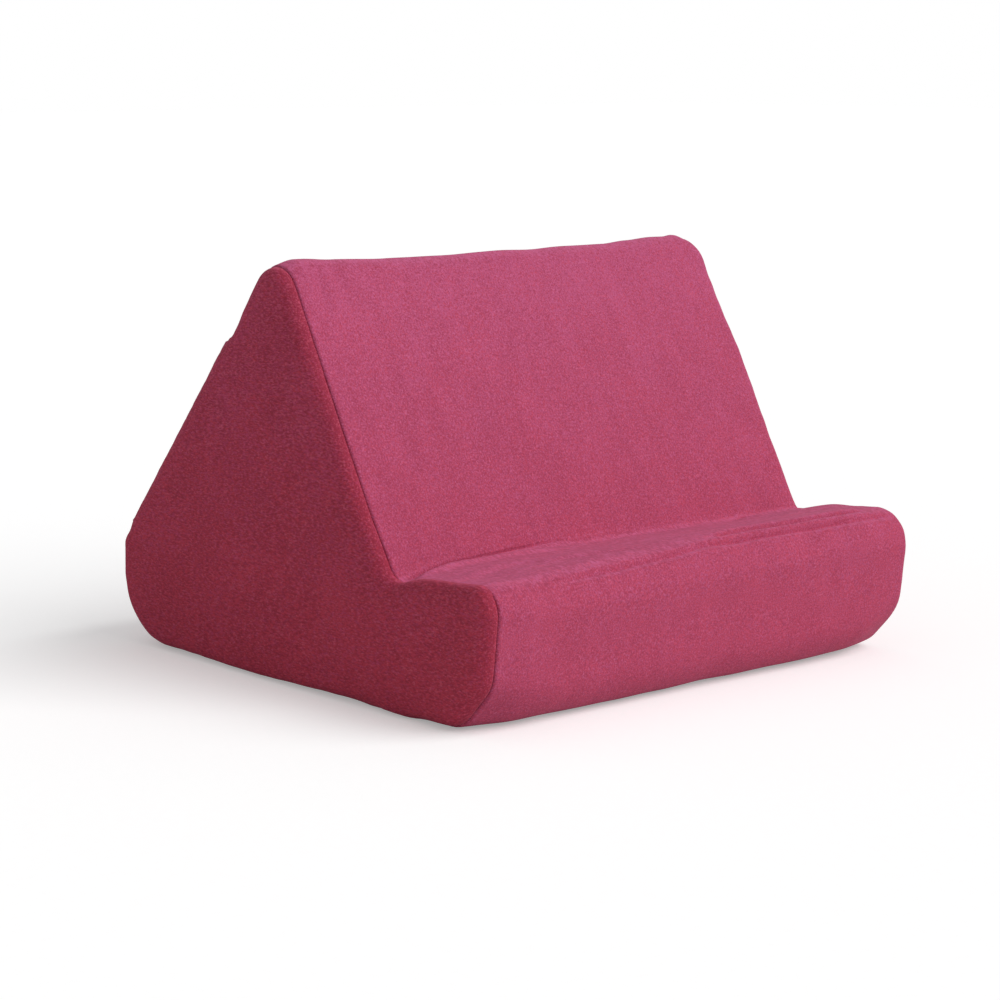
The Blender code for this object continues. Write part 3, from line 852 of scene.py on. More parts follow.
    def settle(self, places: np.ndarray) -> np.ndarray:
        """Move points as the soft cushion has settled.

        The lip stands higher at the right end and the front is a little hollow. The ridge rises
        and falls along its line, the valley drops and draws forward at its left end, and the
        right end narrows towards the ridge. The seams draw in the toe's ends and the back above
        the pocket.

        Args:
            places: X, Y from the front foot, and Z, on the last axis.

        Returns:
            X, Y and Z in the part's frame.
        """
        moved = np.array(places, float)
        x, y, z = moved[..., 0], moved[..., 1], moved[..., 2]
        share = np.clip(x / self.seam_half, -1.0, 1.0)
        middle, ends = 1.0 - share ** 2, ease(np.abs(share), 0.78, 1.0)
        reach = self.lip_reach
        lip = np.clip((0.9 * self.ledge_depth - y) / reach, 0.0, 1.0)
        lip = lip * np.clip((z - self.lip_foot) / reach, 0.0, 1.0)
        front = np.clip((reach - y) / reach, 0.0, 1.0)
        high = ease(z, *self.ridge_span)
        raised = self.nose_tilt * share + self.nose_lift * middle
        raised = raised + self.left_lift * ease(-x, *self.left_lift_span)
        up = lip * raised + high * follow(x, self.ridge_line)
        seat = bump(y - self.ledge_depth, self.valley_reach) * ease(z, *self.valley_span)
        up = up - self.valley_drop * seat * ease(-x, *self.valley_drop_span)
        (toe_y, toe_z), toe_size = self.toe_middle, self.toe_size
        tuck = np.exp(-((y - toe_y) ** 2 + (z - toe_z) ** 2) / toe_size ** 2)
        tuck = self.toe_tuck * ends * tuck
        out = self.back_normal()
        inside = (y - self.depth) * out[1] + (z - self.heel_height) * out[2]
        waist = bump(inside, 15.0) * bump(z - self.mouth_height - 3.0, 11.0)
        waist = self.mouth_tuck * waist * ease(np.abs(share), 0.7, 1.0)
        right = ease(x, *self.right_end)
        swell = self.right_swell * bump(z - self.swell_height, self.swell_size)
        narrow = self.right_draw * ease(z, *self.right_draw_span) - swell
        moved[..., 0] = x - right * narrow
        moved[..., 2] = np.maximum(z + up + 0.7 * tuck - waist * out[2], 0.0)
        forward = y + front * self.front_hollow * middle + 0.7 * tuck - waist * out[1]
        pulled = self.valley_pull * seat * ease(-x, *self.valley_pull_span)
        moved[..., 1] = forward - pulled + self.front_shift
        return moved

    def layer(self, columns: Sequence[float], insets: Sequence[float]) -> np.ndarray:
        """Return a settled grid, profile points by columns, each column with its own inset."""
        grid = [
            np.column_stack([np.full(len(s), x), s])
            for x, s in ((x, self.section(x, inset)) for x, inset in zip(columns, insets))
        ]
        return self.settle(np.stack(grid, axis=1))


def outward(grid: np.ndarray) -> np.ndarray:
    """Return the unit normals in the profile plane of a closed grid, profile points by columns."""
    run = np.roll(grid, -1, axis=0) - np.roll(grid, 1, axis=0)
    normals = np.stack([np.zeros(run.shape[:2]), -run[..., 2], run[..., 1]], axis=-1)
    return normals / np.maximum(np.linalg.norm(normals, axis=-1, keepdims=True), 1e-9)


@dataclass(frozen=True)
class Crease:
    """A fold line that runs across the cushion.

    Its line is given by X and the distance along the profile from the middle of a corner.
    """

    corner: str
    line: tuple[tuple[float, float], ...]
    depth: float
    width: float
    swell_front: float
    swell_back: float
    reach: float
    fade: tuple[float, float] = (12.0, 12.0)

    def height(self, x: np.ndarray, along: np.ndarray) -> np.ndarray:
        """Return the height that the crease adds at places on the cover.

        Args:
            x: X of each place.
            along: Distance of each place along the profile from the corner.

        Returns:
            Heights, below zero in the groove and above it on its two swells.
        """
        off = along - follow(x, self.line)
        first, last = self.line[0][0], self.line[-1][0]
        strength = ease(x, first - self.fade[0], first + self.fade[0])
        strength = strength * ease(x, last + self.fade[1], last - self.fade[1])
        groove = -self.depth * bump(off, self.width)
        front = self.swell_front * bump(off + self.reach, 0.6 * self.reach)
        back = self.swell_back * bump(off - self.reach, 0.6 * self.reach)
        return strength * (groove + front + back)


@dataclass(frozen=True)
class Dimple:
    """A small hollow or swell: its place, half sizes, depth and slant."""

    corner: str
    x: float
    off: float
    half_width: float
    half_length: float
    depth: float
    slant: float = 0.0

    def height(self, x: np.ndarray, along: np.ndarray) -> np.ndarray:
        """Return the height that it adds at places on the cover, as Crease does."""
        across = (x - self.x) / self.half_width
        off = (along - self.off - self.slant * (x - self.x)) / self.half_length
        return -self.depth * np.exp(-(across ** 2) - off ** 2)


@dataclass(frozen=True)
class SeamEdge:
    """How the cover turns at one side: the strip's roll to the seam, and the panel's rim after it.

    The strip is flat to flat_to, and rolls by turn degrees at the radius roll. The panel starts
    a gap further out, and its rim's depth leads to its face. The right seam lies further round
    on the side than the left one.
    """

    side: Side
    flat_to: float
    roll: float
    turn: float
    rim: float
    face: float
    gap: float = 0.5

    def inset(self, x: np.ndarray | float) -> np.ndarray:
        """Return how far the strip has rolled in at a distance from the middle."""
        off = np.clip(np.asarray(x, float) - self.flat_to, 0.0, self.roll * 0.999)
        return self.roll - np.sqrt(self.roll ** 2 - off ** 2)

    def columns(self, start: float) -> np.ndarray:
        """Return the strip's columns from a place across to the seam, as distances."""
        flat = start + (self.flat_to - start) * graded(self.flat_to - start, 2.4, 0.9)
        angles = np.radians(np.linspace(0.0, self.turn, 9))[1:]
        return np.concatenate([flat[1:], self.flat_to + self.roll * np.sin(angles)])

    def seam(self) -> tuple[float, float]:
        """Return the distance of the strip's edge from the middle, and its inset."""
        x = self.flat_to + self.roll * math.sin(math.radians(self.turn))
        return x, float(self.inset(x))


@dataclass
class Cover:
    """The sewn velour cover: the strip round the profile and its two side panels."""

    form: CushionForm
    seam_allowance: float = 7.5
    turned: tuple[float, float] = (6.5, 4.5)
    side_crown: float = 0.7
    foot_press: float = 0.75
    foot_splay: float = 1.8
    foot_middle: float = 30.0
    foot_reach: float = 56.0
    foot_height: float = 10.0
    toe_lift: float = 1.5
    toe_lift_middle: float = -72.0
    pocket_rise: float = 1.5
    rim_angles: tuple[float, ...] = (0, 12, 24, 36, 48, 60, 72, 82, 90)
    face_insets: tuple[float, ...] = (9.6, 11.5, 13.8, 16.5, 19.5, 23.0)
    pucker: float = 0.3
    pucker_size: float = 9.0
    pucker_reach: float = 7.0
    drawn: float = 0.3
    ledge_creep: float = 0.26
    broad_wave: float = 0.55
    small_wave: float = 0.22
    cheek_broad_wave: float = 0.6
    cheek_small_wave: float = 0.2
    edges: tuple[SeamEdge, SeamEdge] = (
        SeamEdge(Side.LEFT, 139.1, 1.6, 72.0, 7.4, 147.4),
        SeamEdge(Side.RIGHT, 141.3, 5.2, 78.0, 1.2, 147.6),
    )
    folds: tuple[Crease | Dimple, ...] = (
        Crease("valley", ((-134, -1.6), (-124, -0.8), (-108, 0.4), (-77, 1.8), (-58, 2.4), (-42, 2.9)),
               1.9, 0.65, 1.9, 0.3, 6.5, (6.0, 24.0)),
        Crease("nose", ((-126, 33.0), (-104, 38.0), (-88, 40.0), (-74, 32.0), (-50, 25.0), (-26, 15.0)),
               0.9, 4.5, 0.0, 0.5, 8.0, (14.0, 18.0)),
        Crease("nose", ((-88, 1.5), (-52, 1.5), (-22, 2.2), (2, 4.6), (30, 3.8), (86, 3.8), (136, 3.6)),
               1.2, 1.4, 0.2, 0.5, 3.6, (22.0, 7.0)),
        Crease("nose", ((12, 4.6), (40, 4.0), (84, 3.8), (112, 3.8)),
               0.6, 1.4, 0.7, 0.4, 3.6, (14.0, 16.0)),
        Crease("nose", ((18, 11.0), (36, 11.9), (70, 10.6), (94, 11.9), (124, 12.6)),
               1.8, 1.3, 0.5, 1.3, 4.2, (12.0, 8.0)),
        Crease("valley", ((90, -4.0), (114, -3.0), (140, -2.4)), 1.8, 1.0, 1.2, 0.0, 5.0, (10.0, 6.0)),
        Dimple("nose", 140.0, 48.0, 34.0, 15.0, -2.2),
        Dimple("nose", 76.0, -0.6, 10.0, 3.4, 2.3, 0.12),
        Dimple("nose", 24.0, 1.2, 8.0, 2.2, 0.9, -0.1),
        Dimple("valley", 98.0, -3.0, 3.0, 1.8, 1.3),
        Dimple("ridge", -125.5, -20.0, 3.8, 9.0, 2.0, 1.0),
        Dimple("ridge", -114.0, -16.0, 3.4, 8.0, 1.1, -1.2),
    )

    def make(self) -> None:
        """Make the strip and both side panels."""
        strip = self.strip()
        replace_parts(strip, "wrap_panel")
        for edge in self.edges:
            panel = self.side_panel(edge)
            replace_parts(panel, f"side_panel_{edge.side.name.lower()}")

    def columns(self) -> np.ndarray:
        """Return the strip's columns across the cushion, closer together towards its seams."""
        slot = self.form.slot_half
        left, right = (edge.columns(slot) for edge in self.edges)
        return np.concatenate([-left[::-1], np.linspace(-slot, slot, 113), right])

    def rolled(self, x: np.ndarray) -> np.ndarray:
        """Return how far the strip rolls in towards the seam on either side."""
        left, right = self.edges
        return np.where(x < 0, left.inset(-x), right.inset(x))

    def closed(self, along: np.ndarray) -> np.ndarray:
        """Return 1 where a seam shows as a groove, and less where the pile closes over it."""
        start, end = self.form.landmark("nose") - 3.0, self.form.landmark("valley")
        hidden = ease(along, start, start + 12.0) * ease(along, end + 4.0, end - 2.0)
        return 1.0 - 0.9 * hidden

    def relief(self, x: np.ndarray, along: np.ndarray) -> np.ndarray:
        """Return the small forms of the strip: puckers, folds and gentle waves.

        Args:
            x: X of each place.
            along: Distance of each place along the profile from the front foot.

        Returns:
            Heights out of the settled form.
        """
        form = self.form
        marks, lengths = form.marks(), form.lengths()
        off = np.maximum(form.seam_half - np.abs(x), 0.0)
        side = np.where(x < 0, 3.7, 11.3)
        puckers = self.pucker * ripple(side, along, self.pucker_size, 5.0)
        puckers = puckers * np.exp(-off / self.pucker_reach)
        drawn = -self.drawn * np.exp(-off / 5.0)
        waves = self.broad_wave * ripple(x, along, 75.0, 2.0)
        waves = waves + self.small_wave * ripple(x, along, 24.0, 9.0)
        nose, valley = form.landmark("nose"), form.landmark("valley")
        on_ledge = ease(along, nose + 6.0, nose + 16.0) * ease(along, valley + 2.0, valley - 5.0)
        creep = self.ledge_creep * ripple(0.16 * x, along, 5.5, 17.0) * on_ledge
        total = puckers + drawn + (waves + creep) * ease(off, 0.0, 25.0)
        for fold in self.folds:
            total = total + fold.height(x, along - form.landmark(fold.corner))
        zip_place = lengths[marks["slot_top"] + 1]
        behind = ease(along, lengths[marks["ridge_end"]] + 10.0, lengths[marks["ridge_end"]] + 40.0)
        calm = 1.0 - behind * ease(along, zip_place + 60.0, zip_place + 30.0)
        return total * calm + drawn * (1.0 - calm)

    def strip(self) -> bpy.types.Object:
        """Make the strip, with the zip's slot in its rear wall."""
        form = self.form
        columns = self.columns()
        base = form.layer(columns, np.zeros(len(columns)))
        normals = outward(base)
        x = np.broadcast_to(columns, base.shape[:2])
        along = np.broadcast_to(form.lengths()[:, None], base.shape[:2])
        groove = np.where(x < 0, self.closed(along), 1.0)
        height = self.relief(x, along) - self.rolled(x) * groove
        places = base + normals * height[..., None]
        places[..., 2] = np.maximum(places[..., 2], 0.0)
        piece = Piece("cover_strip")
        rows = piece.add(places)
        marks = form.marks()
        skip = np.zeros((rows.shape[0], rows.shape[1] - 1), bool)
        inside = np.abs((columns[1:] + columns[:-1]) / 2) < form.slot_half
        skip[marks["slot_top"]:marks["slot_bottom"], :] = inside
        piece.skin(rows, ring=True, skip=skip)
        left_turned, right_turned = self.turned
        left = piece.add(places[:, 0] - normals[:, 0] * left_turned)
        right = piece.add(places[:, -1] - normals[:, -1] * right_turned)
        piece.skin(np.stack([left, rows[:, 0]], axis=1), ring=True)
        piece.skin(np.stack([rows[:, -1], right], axis=1), ring=True)
        self.slot_edge(piece, places, normals, rows, columns)
        return piece.build(VELOUR)

    def slot_edge(
        self,
        piece: Piece,
        places: np.ndarray,
        normals: np.ndarray,
        rows: np.ndarray,
        columns: np.ndarray,
    ) -> None:
        """Turn the cloth under round the zip's slot.

        Args:
            piece: The strip.
            places: Its points, profile points by columns.
            normals: Their normals.
            rows: Their numbers.
            columns: Their places across.
        """
        marks = self.form.marks()
        top, bottom = marks["slot_top"], marks["slot_bottom"]
        held = np.flatnonzero(np.abs(columns) <= self.form.slot_half + 0.01)
        left, right = held[0], held[-1]
        loop = [(top, c, 0, 1) for c in range(left, right + 1)]
        loop += [(r, right, 1, 0) for r in range(top + 1, bottom)]
        loop += [(bottom, c, 0, -1) for c in range(right, left - 1, -1)]
        loop += [(r, left, -1, 0) for r in range(bottom - 1, top, -1)]
        edge = np.array([places[r, c] for r, c, _, _ in loop])
        normal = np.array([normals[r, c] for r, c, _, _ in loop])
        away = np.array([(across, 0.0, up) for _, _, across, up in loop], float)
        rings = [np.array([rows[r, c] for r, c, _, _ in loop])]
        for depth, back in ((0.3, -0.22), (0.75, -0.25), (1.15, 0.05), (1.25, 1.4)):
            rings.append(piece.add(edge - normal * depth + away * back))
        piece.skin(np.stack(rings[::-1], axis=1), ring=True)

    def side_panel(self, edge: SeamEdge) -> bpy.types.Object:
        """Make one side panel: a turned edge, a rounded rim along its seam and a crowned cheek."""
        form, sign = self.form, edge.side.value
        seam_x, seam_inset = edge.seam()
        lengths = form.lengths()
        groove = self.closed(lengths) if edge.side is Side.LEFT else np.ones(len(lengths))
        start = seam_x + edge.gap
        width, outer = edge.face - start, seam_inset - 0.1
        turned_insets = (seam_inset + self.seam_allowance - 1.0, seam_inset + 1.3)
        rims = np.radians(self.rim_angles)
        stations = [(start, inset, 0.0) for inset in turned_insets]
        stations += [
            (start + width * math.sin(a), outer + edge.rim * (1.0 - math.cos(a)), 1.0) for a in rims
        ]
        stations += [(edge.face, inset, 1.0) for inset in self.face_insets]
        first_rim = len(turned_insets)
        grid = []
        for k, (out, inset, shaped) in enumerate(stations):
            profile = form.section(sign * form.seam_half, inset)
            if first_rim <= k < first_rim + len(rims):
                raised = (1.0 - ease(inset, 1.0, 6.0)) * seam_inset
                eased = form.section(sign * form.seam_half, inset - raised)
                profile = profile + (eased - profile) * (1.0 - groove)[:, None]
            x = np.full(len(profile), out)
            x = x - edge.gap * (1.0 - groove) * (k <= first_rim)
            x = x + shaped * self.side_relief(profile, lengths, inset, edge)
            grid.append(np.column_stack([sign * x, profile]))
        places = self.pressed(form.settle(np.stack(grid, axis=1)))
        piece = Piece(f"cover_side_{edge.side.name.lower()}")
        rows = piece.add(places)
        piece.skin(rows if edge.side is Side.RIGHT else rows[:, ::-1], ring=True)
        self.cheek(piece, rows[:, -1], edge, stations[-1][1])
        return piece.build(SHADED_SIDE_VELOUR)

    def pressed(self, places: np.ndarray) -> np.ndarray:
        """Return a side panel's points with its foot pressed flat and splayed out.

        Its rim is lifted at the toe, and stands out beside the pocket.

        Args:
            places: Settled X, Y and Z.

        Returns:
            The points moved.
        """
        form = self.form
        moved = places.copy()
        x, y, z = moved[..., 0], moved[..., 1], moved[..., 2]
        middle = bump(y - self.foot_middle, self.foot_reach)
        weight = self.foot_press * middle
        rim = ease(np.abs(x), 141.0, 146.0)
        splay = self.foot_splay * middle * rim * np.exp(-z / self.foot_height)
        raised = self.toe_lift * bump(y - self.toe_lift_middle, 20.0) * rim * ease(z, 24.0, 10.0)
        out = form.back_normal()
        inside = (y - form.depth - form.front_shift) * out[1] + (z - form.heel_height) * out[2]
        mouth, heel = form.mouth_height, form.heel_height
        beside = bump(inside, 7.0) * ease(z, mouth + 1.5, mouth - 1.5)
        beside = self.pocket_rise * beside * ease(z, heel + 4.0, heel + 12.0)
        moved[..., 0] = x + np.sign(x) * splay
        sunk = weight * z * np.exp(-z / self.foot_height)
        moved[..., 2] = np.maximum(z - sunk + raised + beside * out[2], 0.0)
        moved[..., 1] = y + beside * out[1]
        return moved

    def side_relief(
        self, profile: np.ndarray, lengths: np.ndarray, inset: float, edge: SeamEdge
    ) -> np.ndarray:
        """Return how far a side panel stands out beyond its plain bulge.

        Args:
            profile: Places on the panel, Y and Z.
            lengths: Distance of each place along the seam.
            inset: How far they lie inside the outline.
            edge: The side's seam.

        Returns:
            Heights out of the panel.
        """
        puckers = ripple(lengths, np.full(len(lengths), 4.0), self.pucker_size, 21.0 * edge.side.value)
        near = math.exp(-((inset - 2.0) / 6.0) ** 2) * (1.0 if inset > 1.2 else 0.4)
        waves = self.side_waves(profile, edge.side) * min(1.0, max(0.0, (inset - 3.0) / 14.0))
        return puckers * self.pucker * near + waves + self.crown(inset)

    def crown(self, inset: np.ndarray | float) -> np.ndarray:
        """Return how far the panel's middle stands out, by the distance inside its outline."""
        return self.side_crown * (1.0 - np.exp(-np.maximum(0.0, np.asarray(inset) - 7.0) / 22.0))

    def side_waves(self, profile: np.ndarray, side: Side) -> np.ndarray:
        """Return the cheek's gentle waves at places given by Y and Z."""
        y, z = profile[:, 0], profile[:, 1]
        broad = self.cheek_broad_wave * ripple(y, z, 70.0, 31.0 * side.value)
        return broad + self.cheek_small_wave * ripple(y, z, 26.0, 40.0)

    def cheek(self, piece: Piece, ring: np.ndarray, edge: SeamEdge, inset: float) -> None:
        """Fill a side panel inside its last ring with small triangles.

        Args:
            piece: The panel.
            ring: The numbers of the last ring's points, which the triangles share.
            edge: The side's seam.
            inset: How far inside the outline the ring lies.
        """
        form, sign = self.form, edge.side.value
        border = form.section(sign * form.seam_half, inset)
        low, high = border.min(axis=0), border.max(axis=0)
        spots = np.array([
            (y + (3.0 if row % 2 else 0.0), z)
            for row, z in enumerate(np.arange(low[1] + 3.0, high[1], 5.2))
            for y in np.arange(low[0] + 3.0, high[0], 6.0)
        ])
        gaps = np.linalg.norm(spots[:, None] - border[None], axis=2).min(axis=1)
        spots = spots[gaps > 3.0]
        loop = [(k, (k + 1) % len(border)) for k in range(len(border))]
        keep = [Vector(p) for p in (*border, *spots)]
        found = delaunay_2d_cdt(keep, loop, [], 1, 1e-4)
        flat = np.array([(v.x, v.y) for v in found[0]])
        inner = inset + np.linalg.norm(flat[:, None] - border[None], axis=2).min(axis=1)
        x = edge.face + self.side_waves(flat, edge.side) + self.crown(inner)
        numbers = np.array([
            next((ring[k] for k in sources if k < len(ring)), -1) for sources in found[3]
        ])
        fresh = numbers < 0
        numbers[fresh] = piece.add(self.pressed(form.settle(np.column_stack([sign * x, flat])[fresh])))
        for corners in found[2]:
            order = [numbers[i] for i in corners]
            piece.fill(order if edge.side is Side.RIGHT else order[::-1])


@dataclass
class FoamCore:
    """The foam block inside the cover."""

    form: CushionForm
    inset: float = 3.4
    half_width: float = 140.0
    eased: float = 4.0
    zip_recess: float = 2.2

    def make(self) -> None:
        """Make the block."""
        form = self.form
        edge, end = self.half_width - self.eased, self.half_width
        columns = np.concatenate([[-end], np.linspace(-edge, edge, 18), [end]])
        insets = np.full(len(columns), self.inset)
        insets[[0, -1]] = self.inset + self.eased
        grid = form.layer(columns, insets)
        normals = outward(grid)
        marks = form.marks()
        lengths = form.lengths()
        near = np.abs(lengths - lengths[marks["slot_top"] + 1])
        grid = grid - normals * (self.zip_recess * ease(near, 30.0, 20.0))[:, None, None]
        piece = Piece("foam_block")
        rows = piece.add(grid)
        piece.skin(rows, ring=True)
        piece.fill(rows[:, 0])
        piece.fill(rows[::-1, -1])
        block = piece.build(FOAM)
        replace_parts(block, "foam_core")


@dataclass
class Stitching:
    """A row of lock stitches: short threads that dip into the cloth at each end."""

    length: float = 3.0
    gap: float = 0.5
    radius: float = 0.26
    arch: float = 0.16

    def row(self, piece: Piece, start: np.ndarray, end: np.ndarray, out: np.ndarray,
            height: Callable[[np.ndarray], np.ndarray] | None = None) -> None:
        """Add one straight row of stitches.

        Args:
            piece: The piece that takes them.
            start: Where the row starts.
            end: Where it ends.
            out: The direction out of the cloth.
            height: Gives the cloth's height at shares of the row, if it isn't straight.
        """
        span = end - start
        total = float(np.linalg.norm(span))
        pitch = self.length + self.gap
        count = int(total // pitch)
        for k in range(count):
            shares = (k * pitch + self.gap / 2 + self.length * np.linspace(0.0, 1.0, 5)) / total
            lift = self.arch * np.sin(np.linspace(0.0, math.pi, 5)) - 0.05
            if height is not None:
                lift = lift + height(shares)
            piece.tube(start + span * shares[:, None] + out * lift[:, None], self.radius, 5)


@dataclass
class BackPocket:
    """The velour pocket over the back, sewn down on three sides, with a hem at its mouth.

    Its cloth settles on the back in a short simulation, held at its seams and its hem.
    """

    form: CushionForm
    rise: float = 8.1
    half_width: float = 141.6
    hem: float = 12.0
    turning: float = 8.0
    cloth: float = 1.35
    edge_roll: float = 0.5
    stitch_dent: float = 0.5
    stitch_tug: float = 0.22
    clearance: float = 0.35
    corner_pull: float = 6.0
    gape: float = 9.0
    slack: float = 0.012
    mesh_step: float = 4.0
    cloth_mass: float = 0.15
    margin: float = 20.0
    last_frame: int = 24
    most_moved: float = 7.0
    settled: tuple[np.ndarray, np.ndarray, np.ndarray] | None = None

    def axes(self) -> tuple[np.ndarray, np.ndarray, np.ndarray, float]:
        """Return the pocket's foot, its directions up and out, and its length."""
        angle = math.radians(self.form.back_angle)
        up = np.array([0.0, -math.cos(angle), math.sin(angle)])
        heel = np.array([0.0, self.form.depth + self.form.front_shift, self.form.heel_height])
        foot = heel + up * self.rise / up[2]
        return foot, up, self.form.back_normal(), float((self.form.mouth_height - foot[2]) / up[2])

    def places(self, x: np.ndarray, along: np.ndarray, height: np.ndarray) -> np.ndarray:
        """Return points by X, distance up the pocket and height over the back."""
        foot, up, out, length = self.axes()
        off = self.half_width - np.abs(x)
        pulled = self.corner_pull * (1.0 - ease(off, 0.0, 10.0))
        pulled = pulled * np.clip(along / length, 0.0, 1.0) ** 6
        spots = foot + (along - pulled)[..., None] * up + height[..., None] * out
        spots[..., 0] = x
        return spots

    def cut(self, x: np.ndarray, along: np.ndarray) -> np.ndarray:
        """Return how far the pocket's inner face stands off the back before it settles."""
        length = self.axes()[3]
        sideways = ease((self.half_width - np.abs(x)) / (0.45 * self.half_width), 0.0, 1.0)
        upward = np.clip((along / length - 0.35) / 0.65, 0.0, 1.0) ** 1.5
        return self.clearance + self.gape * sideways * upward

    def drape(self) -> None:
        """Let the cloth settle under its own weight, held at its seams and its hem."""
        _, _, out, length = self.axes()
        half = self.half_width
        across = np.linspace(-half, half, round(2 * half / self.mesh_step) + 1)
        rises = np.linspace(0.0, length, round(length / self.mesh_step) + 1)
        x, along = np.meshgrid(across, rises)
        start = self.cut(x, along)
        sheet = self.loose_mesh("pocket_settling", self.places(x, along, start))
        sewn = sheet.vertex_groups.new(name="sewn")
        held = (np.abs(x) > half - 1.0) | (along < 1.0) | (along > length - self.hem)
        sewn.add(np.flatnonzero(held.ravel()).tolist(), 1.0, "REPLACE")
        settle = sheet.modifiers.new("settle", "CLOTH")
        settle.settings.vertex_group_mass = sewn.name
        settle.settings.quality = 6
        settle.settings.mass = self.cloth_mass
        settle.settings.shrink_min = -self.slack
        settle.point_cache.frame_end = self.last_frame
        settle.collision_settings.distance_min = 0.001
        reach = np.array([-half - self.margin, half + self.margin])
        corners = np.meshgrid(reach, np.array([-self.margin, length + self.margin]))
        back = self.loose_mesh("back_settling", self.places(*corners, np.full((2, 2), -0.8)))
        back.modifiers.new("back", "COLLISION")
        back.collision.thickness_outer = 0.001
        scene = bpy.context.scene
        for number in range(1, self.last_frame + 1):
            scene.frame_set(number)
        shaped = sheet.evaluated_get(bpy.context.evaluated_depsgraph_get())
        points = np.array([v.co for v in shaped.data.vertices]) / MM
        height = ((points - self.axes()[0]) @ out).reshape(x.shape)
        moved = np.clip(height - start, -self.most_moved, self.most_moved)
        self.settled = across, rises, np.maximum(start + moved, self.clearance)
        LOG.info("pocket cloth settled by up to %.1f mm", float(np.abs(moved).max()))
        for passing in (sheet, back):
            bpy.data.meshes.remove(passing.data)
        scene.frame_set(1)

    def loose_mesh(self, name: str, places: np.ndarray) -> bpy.types.Object:
        """Make a plain grid of faces for the simulation, which is taken away after it."""
        piece = Piece(name)
        piece.skin(piece.add(places))
        mesh = bpy.data.meshes.new(name)
        mesh.from_pydata((np.asarray(piece.points) * MM).tolist(), [], piece.faces)
        return linked(name, mesh)

    def lift(self, x: np.ndarray, along: np.ndarray) -> np.ndarray:
        """Return how far the pocket's inner face stands off the back once it has settled."""
        across, rises, heights = self.settled
        rows = np.array([np.interp(np.ravel(x), across, row) for row in heights])
        at = np.clip(np.interp(np.ravel(along), rises, np.arange(len(rises))), 0.0, len(rises) - 1.001)
        low = at.astype(int)
        share = at - low
        spot = np.arange(len(low))
        return (rows[low, spot] * (1.0 - share) + rows[low + 1, spot] * share).reshape(np.shape(x))

    def stitch_lines(self) -> tuple[float, float]:
        """Return how far up the pocket the stitches of its hem and its foot run."""
        return self.axes()[3] - self.hem + 1.6, 3.0

    def skin_height(self, x: np.ndarray, along: np.ndarray) -> np.ndarray:
        """Return the thickness of the pocket, with its hem, stitch lines and small waves."""
        length = self.axes()[3]
        doubled = np.maximum(ease(along, length - self.hem - 1.2, length - self.hem + 0.2),
                             ease(along, self.turning + 1.2, self.turning - 0.2))
        off = self.half_width - np.abs(x)
        doubled = np.maximum(doubled, 0.8 * ease(off, self.turning + 1.0, self.turning - 1.5))
        thick = self.cloth * (1.0 + 0.75 * doubled)
        lines = self.stitch_lines()
        dent = sum(-self.stitch_dent * bump(along - line, 0.9) for line in lines)
        tug = sum(
            ripple(x, np.full_like(x, line), 7.0, 50.0) * self.stitch_tug * bump(along - line, 5.0)
            for line in lines
        )
        puckers = 0.25 * ripple(along, np.sign(x) * 9.0, 9.0, 61.0) * np.exp(-off / 7.0)
        waves = 0.25 * ripple(x, along, 60.0, 70.0) * ease(off, 0.0, 30.0) * ease(along, 6.0, 30.0)
        turned = 1.0 - np.clip(off / 1.6, 0.0, 1.0)
        roll = self.edge_roll * (1.0 - np.sqrt(np.clip(1.0 - turned ** 2, 0.0, 1.0)))
        return thick + dent + tug + puckers + waves - roll

    def make(self) -> None:
        """Make the pocket and the stitches of its hem and foot."""
        self.drape()
        foot, up, out, length = self.axes()
        near = np.array([0.0, 0.15, 0.4, 0.8, 1.4, 2.2, 3.4, 5.0, 7.0, 9.0])
        inner_half = np.linspace(0.0, self.half_width - 12.0, 52)
        half = np.concatenate([inner_half, self.half_width - near[::-1]])
        columns = np.concatenate([-half[:0:-1], half])
        spans = ((0.0, 12.0, 13), (14.5, length - 17.0, 46), (length - 15.5, length, 18))
        rises = np.concatenate([np.linspace(*span) for span in spans])
        x, along = np.meshgrid(columns, rises)
        inner = self.softened(self.lift(x, along))
        outer = inner + self.skin_height(x, along)
        piece = Piece("back_pocket_cloth")
        front = piece.add(self.places(x, along, outer))
        back = piece.add(self.places(x, along, inner))
        piece.skin(front[:, ::-1])
        piece.skin(back)
        for row, bulge in ((-1, 0.55), (0, -0.55)):
            rim = [front[row]]
            for share in (0.2, 0.5, 0.8):
                height = outer[row] + (inner[row] - outer[row]) * share
                up_to = along[row] + bulge * math.sin(share * math.pi)
                rim.append(piece.add(self.places(columns, up_to, height)))
            rim.append(back[row])
            band = np.stack(rim)
            piece.skin(band[:, ::-1] if row == -1 else band)
            piece.fill(band[::-1, 0] if row == -1 else band[:, 0])
            piece.fill(band[:, -1] if row == -1 else band[::-1, -1])
        for column in (0, -1):
            band = np.stack([front[:, column], back[:, column]], axis=1)
            piece.skin(band if column == 0 else band[:, ::-1])
        cloth = piece.build(VELOUR)
        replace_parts(cloth, "back_pocket")
        threads = Piece("pocket_stitches")
        sewing = Stitching()
        reach = self.half_width - 6.0
        for line in self.stitch_lines():
            start = foot + up * line + np.array([-reach, 0.0, 0.0])
            end = foot + up * line + np.array([reach, 0.0, 0.0])

            def height(shares: np.ndarray, line: float = line) -> np.ndarray:
                """Return the cloth's height along the row."""
                spot = -reach + 2 * reach * shares
                row = np.full_like(spot, line)
                return self.lift(spot, row) + self.skin_height(spot, row)

            sewing.row(threads, start, end, out, height)
        seams = threads.build(THREAD)

